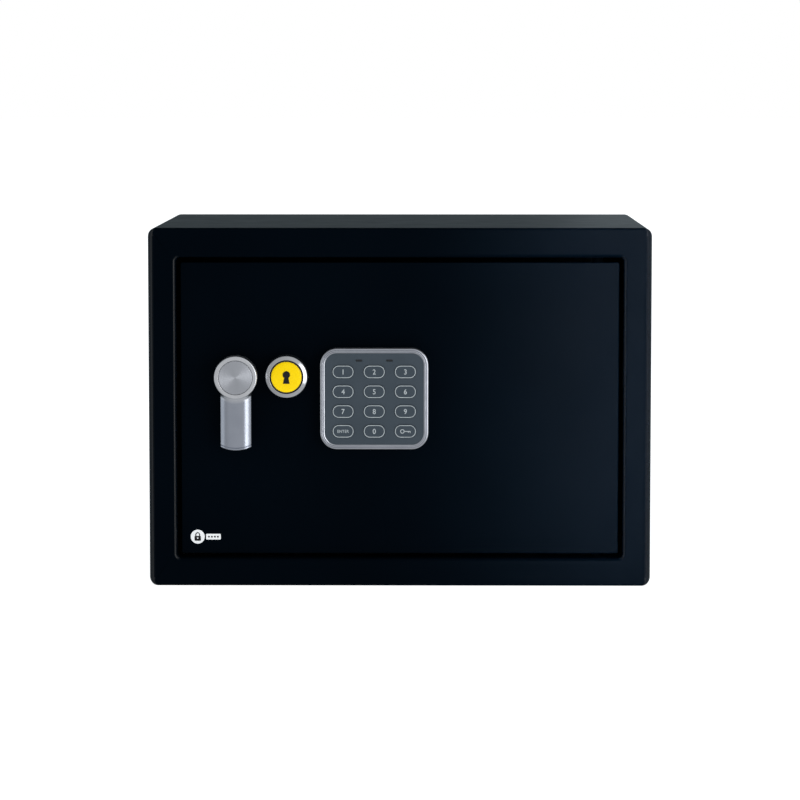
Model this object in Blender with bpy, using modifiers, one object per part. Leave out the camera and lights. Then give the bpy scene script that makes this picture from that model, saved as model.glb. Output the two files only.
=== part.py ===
"""An in-room safe: a folded sheet-steel cabinet with one hinged door, which carries a
lever knob with its boltwork, a capped override lock, a keypad and a battery box.

Metres, +Z up. The safe stands on z = 0 with its front towards -Y. It is shown with the
door shut and the bolts drawn back, so that every moving piece can move on its own.
"""

from math import asin, atan2, cos, pi, radians, sin

import bmesh
import bpy
from mathutils import Matrix, Vector

# Driving dimensions
WIDTH = 0.350
DEPTH = 0.250
HEIGHT = 0.250
SHEET = 0.002
GAP = 0.0003
FRONT = -DEPTH / 2
BACK = DEPTH / 2

# Cabinet
WRAP_CORNER = 0.006
FRAME_RETURN = 0.006
SIDE_BEND = 0.005
TOP_BEND = 0.0015
LIP_BEND = 0.0025
OPENING_WIDTH = 0.311
OPENING_LOW = 0.0195
OPENING_HIGH = 0.2295
OPENING_CORNER = 0.003
FLANGE_DEPTH = 0.020
ANCHOR_X = 0.100
ANCHOR_RADIUS = 0.005
MAT_THICKNESS = 0.003

# Door
DOOR_WIDTH = 0.305
DOOR_LOW = 0.0222
DOOR_HIGH = 0.2259
DOOR_RECESS = 0.005
DOOR_THICKNESS = 0.004
DOOR_FACE = FRONT + DOOR_RECESS
DOOR_REAR = DOOR_FACE + DOOR_THICKNESS
DOOR_BACKING = DOOR_REAR + GAP

# Hinge, on the right
HINGE_X = DOOR_WIDTH / 2 - 0.015
HINGE_Y = DOOR_REAR + 0.005
PIN_RADIUS = 0.004
PIN_HOLE = PIN_RADIUS + GAP
HINGE_PLATE = 0.004

# Door cover, on the inside
COVER_LEFT = -0.150
COVER_RIGHT = 0.045
COVER_LOW = 0.044
COVER_HIGH = 0.206
COVER_BACK = -0.080
RESET_PLACE = (0.027, COVER_BACK, 0.160)
SCREW_INSET = 0.0095
COVER_SCREWS = [
    (x, z)
    for z in (COVER_HIGH - SCREW_INSET, COVER_LOW + SCREW_INSET)
    for x in (COVER_LEFT + SCREW_INSET, COVER_RIGHT - SCREW_INSET)
]

# Boltwork
BOLT_RADIUS = 0.008
BOLT_LENGTH = 0.038
BOLT_TIP = -0.150
BOLT_Y = -0.0955
BOLT_MIDDLE_Z = 0.124
BOLT_HALF_SPACING = 0.040
CARRIAGE_THICKNESS = 0.003
CARRIAGE_RIGHT = -0.078
CARRIAGE_LOW = 0.072
CARRIAGE_HIGH = 0.172

# Knob and override lock, on one height
CONTROLS_Z = 0.147
KNOB_X = -0.1135
KNOB_RADIUS = 0.015
KNOB_PROUD = 0.020
LEVER_WIDTH = 0.021
LEVER_REACH = 0.0514
LEVER_END_SAGITTA = 0.0025
LEVER_FRONT = 0.0175
LEVER_BACK = 0.0075
CRANK_RADIUS = 0.0127
CRANK_PIN_RADIUS = 0.0025
KNOB_HOLE = 0.0063
LOCK_X = -0.0785
LOCK_BACK = -0.104
LOCK_HOLE = 0.010

# Solenoid
PLUNGER_X = -0.086
PLUNGER_RADIUS = 0.003
PLUNGER_COLLAR_LOW = 0.174
SOLENOID_LOW = 0.184
SOLENOID_HIGH = 0.203
SOLENOID_WIDTH = 0.022
SOLENOID_WALL = 0.0015

# Battery box
BATTERY_RADIUS = 0.0071
BATTERY_LENGTH = 0.050
BATTERY_PITCH = 0.0152
TRAY_X = -0.01825
TRAY_Z = 0.098
TRAY_WIDTH = 0.0655
TRAY_HEIGHT = 0.058
TRAY_DEPTH = 0.0172
TRAY_WALL = 0.0015

# Keypad
KEYPAD_X = -0.0176
KEYPAD_Z = 0.1316
KEYPAD_WIDTH = 0.075
KEYPAD_HEIGHT = 0.070
KEYPAD_CORNER = 0.0115
KEYPAD_FRONT = FRONT - 0.0065
BEZEL_WALL = 0.0032
FASCIA_THICKNESS = 0.002
KEY_WIDTH = 0.015
KEY_HEIGHT = 0.0092
KEY_THICKNESS = 0.003
KEY_CLEARANCE = 0.0004
KEY_COLUMN_PITCH = 0.0216
KEY_ROW_PITCH = 0.0138
KEY_BLOCK_DROP = 0.00175
KEY_ROWS = (("1", "2", "3"), ("4", "5", "6"), ("7", "8", "9"), ("enter", "0", "unlock"))
LED_X = 0.0106
LED_Z = 0.0268
LED_WIDTH = 0.0045
LED_HEIGHT = 0.0012
CABLE_HOLE = 0.004
CABLE_HOLE_Z = KEYPAD_Z + 0.0184
CABLE_RADIUS = 0.0018

FACING_FRONT = (radians(90), 0, 0)
ROUND_STEPS = 32

# Colour, roughness and metallic value of each material
MATERIALS = {
    "black_powder_coat": ((0.010, 0.014, 0.019), 0.45, 0.0),
    "carpet": ((0.045, 0.047, 0.050), 0.95, 0.0),
    "zinc_steel": ((0.58, 0.57, 0.53), 0.35, 1.0),
    "polished_steel": ((0.70, 0.70, 0.72), 0.15, 1.0),
    "satin_nickel": ((0.60, 0.60, 0.61), 0.30, 1.0),
    "slate_plastic": ((0.055, 0.067, 0.082), 0.50, 0.0),
    "key_rubber": ((0.060, 0.072, 0.088), 0.65, 0.0),
    "circuit_board": ((0.020, 0.140, 0.060), 0.45, 0.0),
    "smoked_plastic": ((0.012, 0.014, 0.018), 0.15, 0.0),
    "black_plastic": ((0.018, 0.018, 0.020), 0.55, 0.0),
    "yellow_plastic": ((0.90, 0.62, 0.02), 0.30, 0.0),
    "red_plastic": ((0.60, 0.03, 0.02), 0.35, 0.0),
    "battery_jacket": ((0.05, 0.12, 0.30), 0.35, 0.2),
    "copper_winding": ((0.60, 0.26, 0.11), 0.35, 1.0),
    "brass": ((0.62, 0.48, 0.22), 0.30, 1.0),
    "cable_jacket": ((0.030, 0.030, 0.032), 0.60, 0.0),
}


def clear_scene():
    for old in list(bpy.data.objects):
        bpy.data.objects.remove(old, do_unlink=True)


def new_collection(name):
    collection = bpy.data.collections.new(name)
    bpy.context.scene.collection.children.link(collection)
    return collection


clear_scene()
PARTS = new_collection("in_room_safe")
CUTTERS = new_collection("cutters")


def material(name):
    """The named material, made the first time it is asked for."""
    found = bpy.data.materials.get(name)
    if found:
        return found
    colour, roughness, metallic = MATERIALS[name]
    made = bpy.data.materials.new(name)
    made.use_nodes = True
    shader = made.node_tree.nodes["Principled BSDF"]
    shader.inputs["Base Color"].default_value = (*colour, 1.0)
    shader.inputs["Roughness"].default_value = roughness
    shader.inputs["Metallic"].default_value = metallic
    return made


def pivot(name, place, parent=None):
    """An empty on a joint's axis, which the pieces of one moving body hang from."""
    empty = bpy.data.objects.new(name, None)
    empty.empty_display_size = 0.01
    PARTS.objects.link(empty)
    empty.parent = parent
    empty.location = Vector(place) - world_place(parent)
    return empty


def world_place(obj):
    """Where an unrotated chain of parents puts this object's origin."""
    place = Vector((0, 0, 0))
    while obj:
        place += obj.location
        obj = obj.parent
    return place


def place_object(name, data, look, place, parent=None, rotation=(0, 0, 0)):
    obj = bpy.data.objects.new(name, data)
    PARTS.objects.link(obj)
    obj.parent = parent
    obj.location = Vector(place) - world_place(parent)
    obj.rotation_euler = rotation
    if not data.materials:
        data.materials.append(material(look))
    return obj


def finish_mesh(bm, name):
    """The bmesh as a mesh, smooth over its small angles and sharp over the others."""
    mesh = bpy.data.meshes.new(name)
    bm.to_mesh(mesh)
    bm.free()
    mesh.shade_smooth()
    mesh.set_sharp_from_angle(angle=radians(35))
    return mesh


def edges_along(bm, axis):
    found = []
    for edge in bm.edges:
        run = edge.verts[1].co - edge.verts[0].co
        if abs(run[axis]) > 0.999 * run.length:
            found.append(edge)
    return found


def edges_at(bm, axis, level):
    return [e for e in bm.edges if all(abs(v.co[axis] - level) < 1e-7 for v in e.verts)]


def round_edges(bm, edges, radius, segments):
    bmesh.ops.bevel(
        bm,
        geom=edges,
        offset=radius,
        offset_type="OFFSET",
        segments=segments,
        profile=0.5,
        affect="EDGES",
        clamp_overlap=False,
    )


def box_bmesh(size, corner=0.0, corner_steps=4, axis=1):
    """A box about the origin, with the four edges along one axis rounded."""
    bm = bmesh.new()
    bmesh.ops.create_cube(bm, size=1.0)
    bmesh.ops.scale(bm, vec=size, verts=bm.verts)
    if corner:
        round_edges(bm, edges_along(bm, axis), corner, corner_steps)
    return bm


def slab(name, look, low, high, parent=None, corner=0.0, corner_steps=4, axis=1, rim=0.0, rims=(-1,)):
    """A box between two corners. rims picks which ends along the axis get a rounded rim."""
    low = Vector(low)
    high = Vector(high)
    size = high - low
    bm = box_bmesh(size, corner, corner_steps, axis)
    if rim:
        for side in rims:
            round_edges(bm, edges_at(bm, axis, side * size[axis] / 2), rim, 2)
    return place_object(name, finish_mesh(bm, name), look, (low + high) / 2, parent)


def turned(name, look, profile, place, parent=None, rotation=(0, 0, 0), ring=False, steps=ROUND_STEPS):
    """A profile of (radius, height) points turned about the object's own Z axis.

    The points run from the top down the outer side. A ring's profile closes on itself.
    """
    mesh = bpy.data.meshes.new(name)
    points = [(radius, 0, height) for radius, height in profile]
    edges = [(i, i + 1) for i in range(len(points) - 1)]
    if ring:
        edges.append((len(points) - 1, 0))
    mesh.from_pydata(points, edges, [])
    obj = place_object(name, mesh, look, place, parent, rotation)
    screw = obj.modifiers.new("turn", "SCREW")
    screw.steps = steps
    screw.render_steps = steps
    screw.use_merge_vertices = True
    screw.merge_threshold = 0.00001
    screw.use_smooth_shade = True
    return obj


def arc(centre, radius, start, end, steps):
    """Points along an arc, both ends included; angles in degrees."""
    angles = [radians(start + (end - start) * i / steps) for i in range(steps + 1)]
    return [(centre[0] + radius * cos(a), centre[1] + radius * sin(a)) for a in angles]


def outline_mesh(name, points, thickness):
    """A flat outline in its own XY plane, thickened both ways, as a closed mesh."""
    curve = bpy.data.curves.new(name, "CURVE")
    curve.dimensions = "2D"
    curve.fill_mode = "BOTH"
    curve.extrude = thickness / 2
    spline = curve.splines.new("POLY")
    spline.points.add(len(points) - 1)
    for point, (x, y) in zip(spline.points, points):
        point.co = (x, y, 0, 1)
    spline.use_cyclic_u = True
    return solid_mesh(name, curve)


def solid_mesh(name, curve):
    """The closed mesh of a curve, with its caps welded on."""
    guide = bpy.data.objects.new(name + "_guide", curve)
    PARTS.objects.link(guide)
    graph = bpy.context.evaluated_depsgraph_get()
    mesh = bpy.data.meshes.new_from_object(guide.evaluated_get(graph))
    bpy.data.objects.remove(guide, do_unlink=True)
    bm = bmesh.new()
    bm.from_mesh(mesh)
    bmesh.ops.remove_doubles(bm, verts=bm.verts, dist=0.00001)
    bmesh.ops.recalc_face_normals(bm, faces=bm.faces)
    return finish_mesh(bm, name)


def extruded(name, look, points, thickness, place, parent=None, rotation=(0, 0, 0)):
    return place_object(name, outline_mesh(name, points, thickness), look, place, parent, rotation)


def tube(name, look, points, radius, parent=None):
    """A round wire or cable along a row of world points."""
    curve = bpy.data.curves.new(name, "CURVE")
    curve.dimensions = "3D"
    curve.bevel_depth = radius
    curve.bevel_resolution = 2
    curve.use_fill_caps = True
    spline = curve.splines.new("POLY")
    spline.points.add(len(points) - 1)
    for point, place in zip(spline.points, points):
        point.co = (*place, 1)
    return place_object(name, curve, look, (0, 0, 0), parent)


def smooth_route(points, steps):
    """A smooth curve through the points, as the Catmull-Rom spline that meets each one."""
    ends = [Vector(points[0]), *map(Vector, points), Vector(points[-1])]
    route = []
    for a, b, c, d in zip(ends, ends[1:], ends[2:], ends[3:]):
        for i in range(steps):
            t = i / steps
            square = 2 * a - 5 * b + 4 * c - d
            cube = 3 * b - a - 3 * c + d
            route.append(0.5 * (2 * b + (c - a) * t + square * t**2 + cube * t**3))
    return [*route, Vector(points[-1])]


def add_modifier(obj, kind, **settings):
    modifier = obj.modifiers.new(kind.lower(), kind)
    for setting, value in settings.items():
        setattr(modifier, setting, value)
    return modifier


def combine(target, helper, operation):
    """Cuts the helper from the target, or fuses it on. The helper moves with the target."""
    PARTS.objects.unlink(helper)
    CUTTERS.objects.link(helper)
    helper.hide_render = True
    helper.display_type = "WIRE"
    helper.parent = target.parent
    helper.location -= world_place(target.parent)
    add_modifier(target, "BOOLEAN", operation=operation, solver="EXACT", object=helper)


def cut(target, helper):
    combine(target, helper, "DIFFERENCE")


def fuse(target, helper):
    combine(target, helper, "UNION")


def drill(target, place, radius, length, axis, steps=24):
    """A round hole through the target, centred on a world point."""
    bm = bmesh.new()
    turn = {
        "X": Matrix.Rotation(radians(90), 4, "Y"),
        "Y": Matrix.Rotation(radians(90), 4, "X"),
        "Z": Matrix.Identity(4),
    }[axis]
    bmesh.ops.create_cone(
        bm, cap_ends=True, segments=steps, radius1=radius, radius2=radius, depth=length, matrix=turn
    )
    name = f"{target.name}_hole"
    cut(target, place_object(name, finish_mesh(bm, name), "zinc_steel", place))


def cut_box(target, low, high, corner=0.0, axis=1):
    cut(target, slab(f"{target.name}_cut", "zinc_steel", low, high, corner=corner, axis=axis))


def open_tube(bm, width, height, front, back, corner, middle_z=0.0):
    """Adds the four walls of a tube along Y with rounded corners, open at both ends."""
    piece = box_bmesh((width, back - front, height), corner)
    ends = [f for f in piece.faces if abs(f.normal.y) > 0.99]
    bmesh.ops.delete(piece, geom=ends, context="FACES_ONLY")
    bmesh.ops.translate(piece, vec=(0, (front + back) / 2, middle_z), verts=piece.verts)
    mesh = bpy.data.meshes.new("tube_wall")
    piece.to_mesh(mesh)
    piece.free()
    bm.from_mesh(mesh)
    bpy.data.meshes.remove(mesh)


# Cabinet


def cabinet_shell():
    """The wrap: top, base and two sides folded from one sheet, with two anchor holes."""
    bm = bmesh.new()
    open_tube(bm, WIDTH, HEIGHT, FRONT + FRAME_RETURN + GAP, BACK, WRAP_CORNER)
    bmesh.ops.recalc_face_normals(bm, faces=bm.faces)
    shell = place_object(
        "cabinet_shell", finish_mesh(bm, "cabinet_shell"), "black_powder_coat", (0, 0, HEIGHT / 2)
    )
    add_modifier(shell, "SOLIDIFY", thickness=SHEET, offset=-1, use_even_offset=True)
    for side in (-1, 1):
        drill(shell, (side * ANCHOR_X, 0, SHEET / 2), ANCHOR_RADIUS, 3 * SHEET, "Z")


def rear_panel():
    inset = SHEET + GAP
    panel = slab(
        "rear_panel",
        "black_powder_coat",
        (-WIDTH / 2 + inset, BACK - SHEET, inset),
        (WIDTH / 2 - inset, BACK, HEIGHT - inset),
        corner=WRAP_CORNER - inset,
    )
    for side in (-1, 1):
        drill(panel, (side * ANCHOR_X, BACK - SHEET / 2, HEIGHT / 2), ANCHOR_RADIUS, 3 * SHEET, "Y")


def rim_of(bm, level, middle, size, known):
    """The points of a tube's rim at this Y level, in order round the tube."""
    rim = [v for v in bm.verts if abs(v.co.y - level) < 1e-7 and v not in known]
    return sorted(
        rim, key=lambda v: atan2((v.co.z - middle[1]) / size[1], (v.co.x - middle[0]) / size[0])
    )


def front_frame():
    """One pressed sheet: an outer return, the face, and a flange round the door opening."""
    opening_height = OPENING_HIGH - OPENING_LOW
    opening_z = (OPENING_LOW + OPENING_HIGH) / 2
    bm = bmesh.new()
    open_tube(bm, WIDTH, HEIGHT, FRONT, FRONT + FRAME_RETURN, WRAP_CORNER, HEIGHT / 2)
    outer = rim_of(bm, FRONT, (0, HEIGHT / 2), (WIDTH, HEIGHT), set())
    open_tube(
        bm, OPENING_WIDTH, opening_height, FRONT, FRONT + FLANGE_DEPTH, OPENING_CORNER, opening_z
    )
    inner = rim_of(bm, FRONT, (0, opening_z), (OPENING_WIDTH, opening_height), set(outer))
    count = len(outer)
    for i in range(count):
        after = (i + 1) % count
        bm.faces.new((outer[i], outer[after], inner[after], inner[i]))
    bmesh.ops.recalc_face_normals(bm, faces=bm.faces)
    face = max(bm.faces, key=lambda f: abs(f.normal.y))
    if face.normal.y > 0:
        bmesh.ops.reverse_faces(bm, faces=bm.faces)

    # The side bends are wide, the top and base bends are tight, and the corners run between.
    weights = bm.edges.layers.float.new("bevel_weight_edge")
    for i in range(count):
        edge = bm.edges.get((outer[i], outer[(i + 1) % count]))
        run = edge.verts[1].co - edge.verts[0].co
        steepness = abs(run.z) / run.length
        edge[weights] = (TOP_BEND + (SIDE_BEND - TOP_BEND) * steepness) / SIDE_BEND
        bm.edges.get((inner[i], inner[(i + 1) % count]))[weights] = LIP_BEND / SIDE_BEND
    frame = place_object("front_frame", finish_mesh(bm, "front_frame"), "black_powder_coat", (0, 0, 0))
    add_modifier(
        frame, "BEVEL", width=SIDE_BEND, segments=3, limit_method="WEIGHT", use_clamp_overlap=False
    )
    add_modifier(frame, "SOLIDIFY", thickness=SHEET, offset=-1, use_even_offset=True)
    drill(frame, (HINGE_X, HINGE_Y, HEIGHT / 2), PIN_HOLE, 0.93 * HEIGHT, "Z")


def floor_mat():
    slab(
        "floor_mat",
        "carpet",
        (-WIDTH / 2 + WRAP_CORNER, FRONT + FLANGE_DEPTH + 0.002, SHEET + GAP),
        (WIDTH / 2 - WRAP_CORNER, BACK - SHEET - 0.0015, SHEET + GAP + MAT_THICKNESS),
        corner=0.005,
        axis=2,
        rim=0.0008,
        rims=(1,),
    )


def hinge_plates():
    """Thickening plates, outside the opening's flange, that the hinge pins run in."""
    levels = {
        "upper": OPENING_HIGH + SHEET + GAP,
        "lower": OPENING_LOW - SHEET - GAP - HINGE_PLATE,
    }
    for name, low in levels.items():
        plate = slab(
            f"hinge_plate_{name}",
            "zinc_steel",
            (HINGE_X - 0.014, HINGE_Y - 0.008, low),
            (HINGE_X + 0.013, HINGE_Y + 0.0055, low + HINGE_PLATE),
        )
        drill(plate, (HINGE_X, HINGE_Y, low + HINGE_PLATE / 2), PIN_HOLE, 3 * HINGE_PLATE, "Z")


# Door structure


def door_plate(door):
    plate = slab(
        "door_plate",
        "black_powder_coat",
        (-DOOR_WIDTH / 2, DOOR_FACE, DOOR_LOW),
        (DOOR_WIDTH / 2, DOOR_REAR, DOOR_HIGH),
        door,
        corner=0.0015,
        rim=0.0005,
    )
    middle = (DOOR_FACE + DOOR_REAR) / 2
    drill(plate, (KNOB_X, middle, CONTROLS_Z), KNOB_HOLE, 3 * DOOR_THICKNESS, "Y")
    drill(plate, (LOCK_X, middle, CONTROLS_Z), LOCK_HOLE, 3 * DOOR_THICKNESS, "Y")
    drill(plate, (KEYPAD_X, middle, CABLE_HOLE_Z), CABLE_HOLE, 3 * DOOR_THICKNESS, "Y")


def hinge_brackets(door):
    """An angle at the top and at the foot of the door's back, each with its fixed pin."""
    tab = 0.003
    leg = 0.0025
    reach = 0.0125
    fall = 0.026
    for name, way, edge in (("upper", 1, DOOR_HIGH - 0.004), ("lower", -1, DOOR_LOW + 0.004)):
        outline = [(0, 0), (reach, 0), (reach, -tab), (leg, -tab), (leg, -fall), (0, -fall)]
        if way < 0:
            outline = [(y, -z) for y, z in reversed(outline)]
        bracket = extruded(
            f"hinge_bracket_{name}",
            "black_powder_coat",
            outline,
            0.019,
            (HINGE_X, DOOR_BACKING, edge),
            door,
            (radians(90), 0, radians(90)),
        )
        drill(bracket, (HINGE_X, HINGE_Y, edge), PIN_HOLE, 3 * tab, "Z")
        head = 0.0046
        tip = 0.0140
        profile = [
            (0, tip),
            (PIN_RADIUS - 0.0006, tip),
            (PIN_RADIUS, tip - 0.0006),
            (PIN_RADIUS, -tab - GAP),
            (head, -tab - GAP),
            (head, -tab - GAP - 0.002),
            (0, -tab - GAP - 0.002),
        ]
        if way < 0:
            profile = [(r, -h) for r, h in reversed(profile)]
        turned(f"hinge_pin_{name}", "black_powder_coat", profile, (HINGE_X, HINGE_Y, edge), door, steps=24)
        # The pin's head sits in front of the bracket's leg, so the leg is notched for it.
        drill(bracket, (HINGE_X, HINGE_Y, edge - way * 0.01175), head + GAP, 0.0173, "Z")


def bolt_guide(door):
    """An angle welded to the door's back, whose web guides the two bolts."""
    leg = 0.0025
    web = 0.003
    depth = 0.0297
    reach = 0.020
    left = COVER_LEFT + 0.004
    outline = [(0, 0), (reach, 0), (reach, leg), (web, leg), (web, depth), (0, depth)]
    guide = extruded(
        "bolt_guide", "zinc_steel", outline, 0.130, (left, DOOR_BACKING, BOLT_MIDDLE_Z), door
    )
    for side in (-1, 1):
        place = (left + web / 2, BOLT_Y, BOLT_MIDDLE_Z + side * BOLT_HALF_SPACING)
        drill(guide, place, BOLT_RADIUS + GAP, 4 * web, "X", ROUND_STEPS)


def door_cover(door):
    """The pressed cover over the lockwork, with its bolt holes and battery opening."""
    size = Vector((COVER_RIGHT - COVER_LEFT, COVER_BACK - DOOR_BACKING, COVER_HIGH - COVER_LOW))
    bm = box_bmesh(size)
    open_side = [f for f in bm.faces if f.normal.y < -0.99]
    bmesh.ops.delete(bm, geom=open_side, context="FACES_ONLY")
    rounded = [e for e in bm.edges if len(e.link_faces) == 2]
    round_edges(bm, rounded, 0.003, 3)
    bmesh.ops.recalc_face_normals(bm, faces=bm.faces)
    if max(bm.faces, key=lambda f: f.calc_area()).normal.y < 0:
        bmesh.ops.reverse_faces(bm, faces=bm.faces)
    middle = (
        (COVER_LEFT + COVER_RIGHT) / 2,
        (DOOR_BACKING + COVER_BACK) / 2,
        (COVER_LOW + COVER_HIGH) / 2,
    )
    cover = place_object("door_cover", finish_mesh(bm, "door_cover"), "black_plastic", middle, door)
    add_modifier(cover, "SOLIDIFY", thickness=SHEET, offset=-1, use_even_offset=True)
    for side in (-1, 1):
        place = (COVER_LEFT, BOLT_Y, BOLT_MIDDLE_Z + side * BOLT_HALF_SPACING)
        drill(cover, place, BOLT_RADIUS + 0.0006, 4 * SHEET, "X", ROUND_STEPS)
    cut_box(
        cover,
        (TRAY_X - TRAY_WIDTH / 2, COVER_BACK - 2 * SHEET, TRAY_Z - TRAY_HEIGHT / 2),
        (TRAY_X + TRAY_WIDTH / 2, COVER_BACK + SHEET, TRAY_Z + TRAY_HEIGHT / 2),
        corner=0.003,
    )
    drill(cover, (RESET_PLACE[0], COVER_BACK, RESET_PLACE[2]), 0.0039, 4 * SHEET, "Y")
    for x, z in COVER_SCREWS:
        drill(cover, (x, COVER_BACK, z), 0.0018, 4 * SHEET, "Y", 16)


def cover_screws(door):
    """Pan-head screws, all cut from one pattern."""
    head = 0.0032
    profile = [
        (0, 0.0019),
        (head * 0.6, 0.0017),
        (head, 0.0009),
        (head, GAP),
        (0.0015, GAP),
        (0.0015, -0.0075),
        (0.0009, -0.0082),
        (0, -0.0082),
    ]
    pattern = turned("screw_pattern", "zinc_steel", profile, (0, 0, 0), steps=16)
    for width, height in ((0.0008, 0.0036), (0.0036, 0.0008)):
        cut(
            pattern,
            slab(
                "screw_recess",
                "zinc_steel",
                (-width / 2, -height / 2, 0.0009),
                (width / 2, height / 2, 0.0030),
            ),
        )
    bpy.context.view_layer.update()
    graph = bpy.context.evaluated_depsgraph_get()
    mesh = bpy.data.meshes.new_from_object(pattern.evaluated_get(graph))
    helpers = [m.object for m in pattern.modifiers if m.type == "BOOLEAN"]
    for helper in (pattern, *helpers):
        bpy.data.objects.remove(helper, do_unlink=True)
    for index, (x, z) in enumerate(COVER_SCREWS, 1):
        place = (x, COVER_BACK, z)
        place_object(f"cover_screw_{index}", mesh, "zinc_steel", place, door, (radians(-90), 0, 0))


# Boltwork, knob and lock


def boltwork(door):
    """The two bolts on their carriage, with the slot that the knob's crank pin drives."""
    middle = (BOLT_TIP, BOLT_Y, BOLT_MIDDLE_Z)
    slide = pivot("bolt_throw_axis", middle, door)
    left = BOLT_TIP + BOLT_LENGTH + GAP
    carriage = slab(
        "bolt_carriage",
        "zinc_steel",
        (left, BOLT_Y - CARRIAGE_THICKNESS / 2, CARRIAGE_LOW),
        (CARRIAGE_RIGHT, BOLT_Y + CARRIAGE_THICKNESS / 2, CARRIAGE_HIGH),
        slide,
        corner=0.002,
    )
    slot_x = KNOB_X + CRANK_RADIUS * sin(radians(45))
    half = CRANK_PIN_RADIUS + 0.0005
    slot_top = CONTROLS_Z - CRANK_RADIUS * cos(radians(45)) + half + 0.001
    slot_foot = CONTROLS_Z - CRANK_RADIUS - half - 0.001
    cut_box(
        carriage,
        (slot_x - half, BOLT_Y - CARRIAGE_THICKNESS, slot_foot),
        (slot_x + half, BOLT_Y + CARRIAGE_THICKNESS, slot_top),
        corner=half * 0.98,
    )
    for side in (-1, 1):
        z = BOLT_MIDDLE_Z - side * 0.036
        cut_box(
            carriage,
            (left + 0.008, BOLT_Y - CARRIAGE_THICKNESS, z - 0.003),
            (CARRIAGE_RIGHT - 0.006, BOLT_Y + CARRIAGE_THICKNESS, z + 0.003),
            corner=0.0028,
        )
    chamfer = 0.0012
    profile = [
        (0, 0),
        (BOLT_RADIUS - chamfer, 0),
        (BOLT_RADIUS, -chamfer),
        (BOLT_RADIUS, -BOLT_LENGTH),
        (0, -BOLT_LENGTH),
    ]
    for name, side in (("upper", 1), ("lower", -1)):
        place = (BOLT_TIP, BOLT_Y, BOLT_MIDDLE_Z + side * BOLT_HALF_SPACING)
        turned(f"bolt_{name}", "polished_steel", profile, place, slide, (0, radians(-90), 0))


def knob(door):
    """The lever knob: its casting, the inlaid disc, and the spindle with its crank."""
    axis = (KNOB_X, DOOR_FACE, CONTROLS_Z)
    turn = pivot("knob_turn_axis", axis, door)

    inlay = 0.01195
    recess = 0.0012
    profile = [
        (0, KNOB_PROUD - recess),
        (inlay, KNOB_PROUD - recess),
        (inlay, KNOB_PROUD),
        (KNOB_RADIUS - 0.0008, KNOB_PROUD),
        (KNOB_RADIUS, KNOB_PROUD - 0.0008),
        (KNOB_RADIUS, LEVER_BACK),
        (0.008, LEVER_BACK),
        (0.008, 0.0004),
        (0, 0.0004),
    ]
    handle = turned("knob_handle", "satin_nickel", profile, axis, turn, FACING_FRONT, steps=48)

    half = LEVER_WIDTH / 2
    end_radius = (half**2 + LEVER_END_SAGITTA**2) / (2 * LEVER_END_SAGITTA)
    half_angle = asin(half / end_radius) * 180 / pi
    end_centre = (0, -LEVER_REACH + end_radius)
    outline = [(half, 0.005), (-half, 0.005)]
    outline += arc(end_centre, end_radius, 270 - half_angle, 270 + half_angle, 8)
    lever = extruded(
        "lever_bar",
        "satin_nickel",
        outline,
        LEVER_FRONT - LEVER_BACK,
        (KNOB_X, DOOR_FACE - (LEVER_FRONT + LEVER_BACK) / 2, CONTROLS_Z),
        rotation=FACING_FRONT,
    )
    add_modifier(
        lever, "BEVEL", width=0.0022, segments=3, limit_method="ANGLE", angle_limit=radians(50)
    )
    fuse(handle, lever)

    disc = inlay - GAP
    profile = [
        (0, KNOB_PROUD),
        (disc - 0.0002, KNOB_PROUD),
        (disc, KNOB_PROUD - 0.0002),
        (disc, KNOB_PROUD - recess + GAP),
        (0, KNOB_PROUD - recess + GAP),
    ]
    turned("knob_face", "satin_nickel", profile, axis, turn, FACING_FRONT, steps=48)

    shaft_back = -(LOCK_BACK - DOOR_FACE) + 0.0003
    crank_front = shaft_back + 0.0037
    profile = [(0, 0.0001), (0.005, 0.0001), (0.005, shaft_back), (0, shaft_back)]
    spindle = turned("knob_spindle", "zinc_steel", profile, axis, turn, FACING_FRONT)
    crank_half = 0.0045
    crank = box_bmesh(
        (2 * crank_half, crank_front - shaft_back - 0.0002, CRANK_RADIUS + 2 * crank_half),
        crank_half * 0.98,
    )
    # The arm hangs down and then leans 45 degrees to the right.
    bmesh.ops.translate(crank, vec=(0, 0, -CRANK_RADIUS / 2), verts=crank.verts)
    bmesh.ops.rotate(crank, matrix=Matrix.Rotation(radians(-45), 3, "Y"), verts=crank.verts)
    crank_y = DOOR_FACE - (crank_front + shaft_back) / 2
    place = (KNOB_X, crank_y, CONTROLS_Z)
    fuse(spindle, place_object("crank_arm", finish_mesh(crank, "crank_arm"), "zinc_steel", place))
    pin = [
        (0, shaft_back + 0.001),
        (CRANK_PIN_RADIUS, shaft_back + 0.001),
        (CRANK_PIN_RADIUS, shaft_back - 0.0120),
        (0, shaft_back - 0.0120),
    ]
    lean = CRANK_RADIUS * sin(radians(45))
    place = (KNOB_X + lean, DOOR_FACE, CONTROLS_Z - lean)
    fuse(spindle, turned("crank_pin", "zinc_steel", pin, place, rotation=FACING_FRONT, steps=20))


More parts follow.
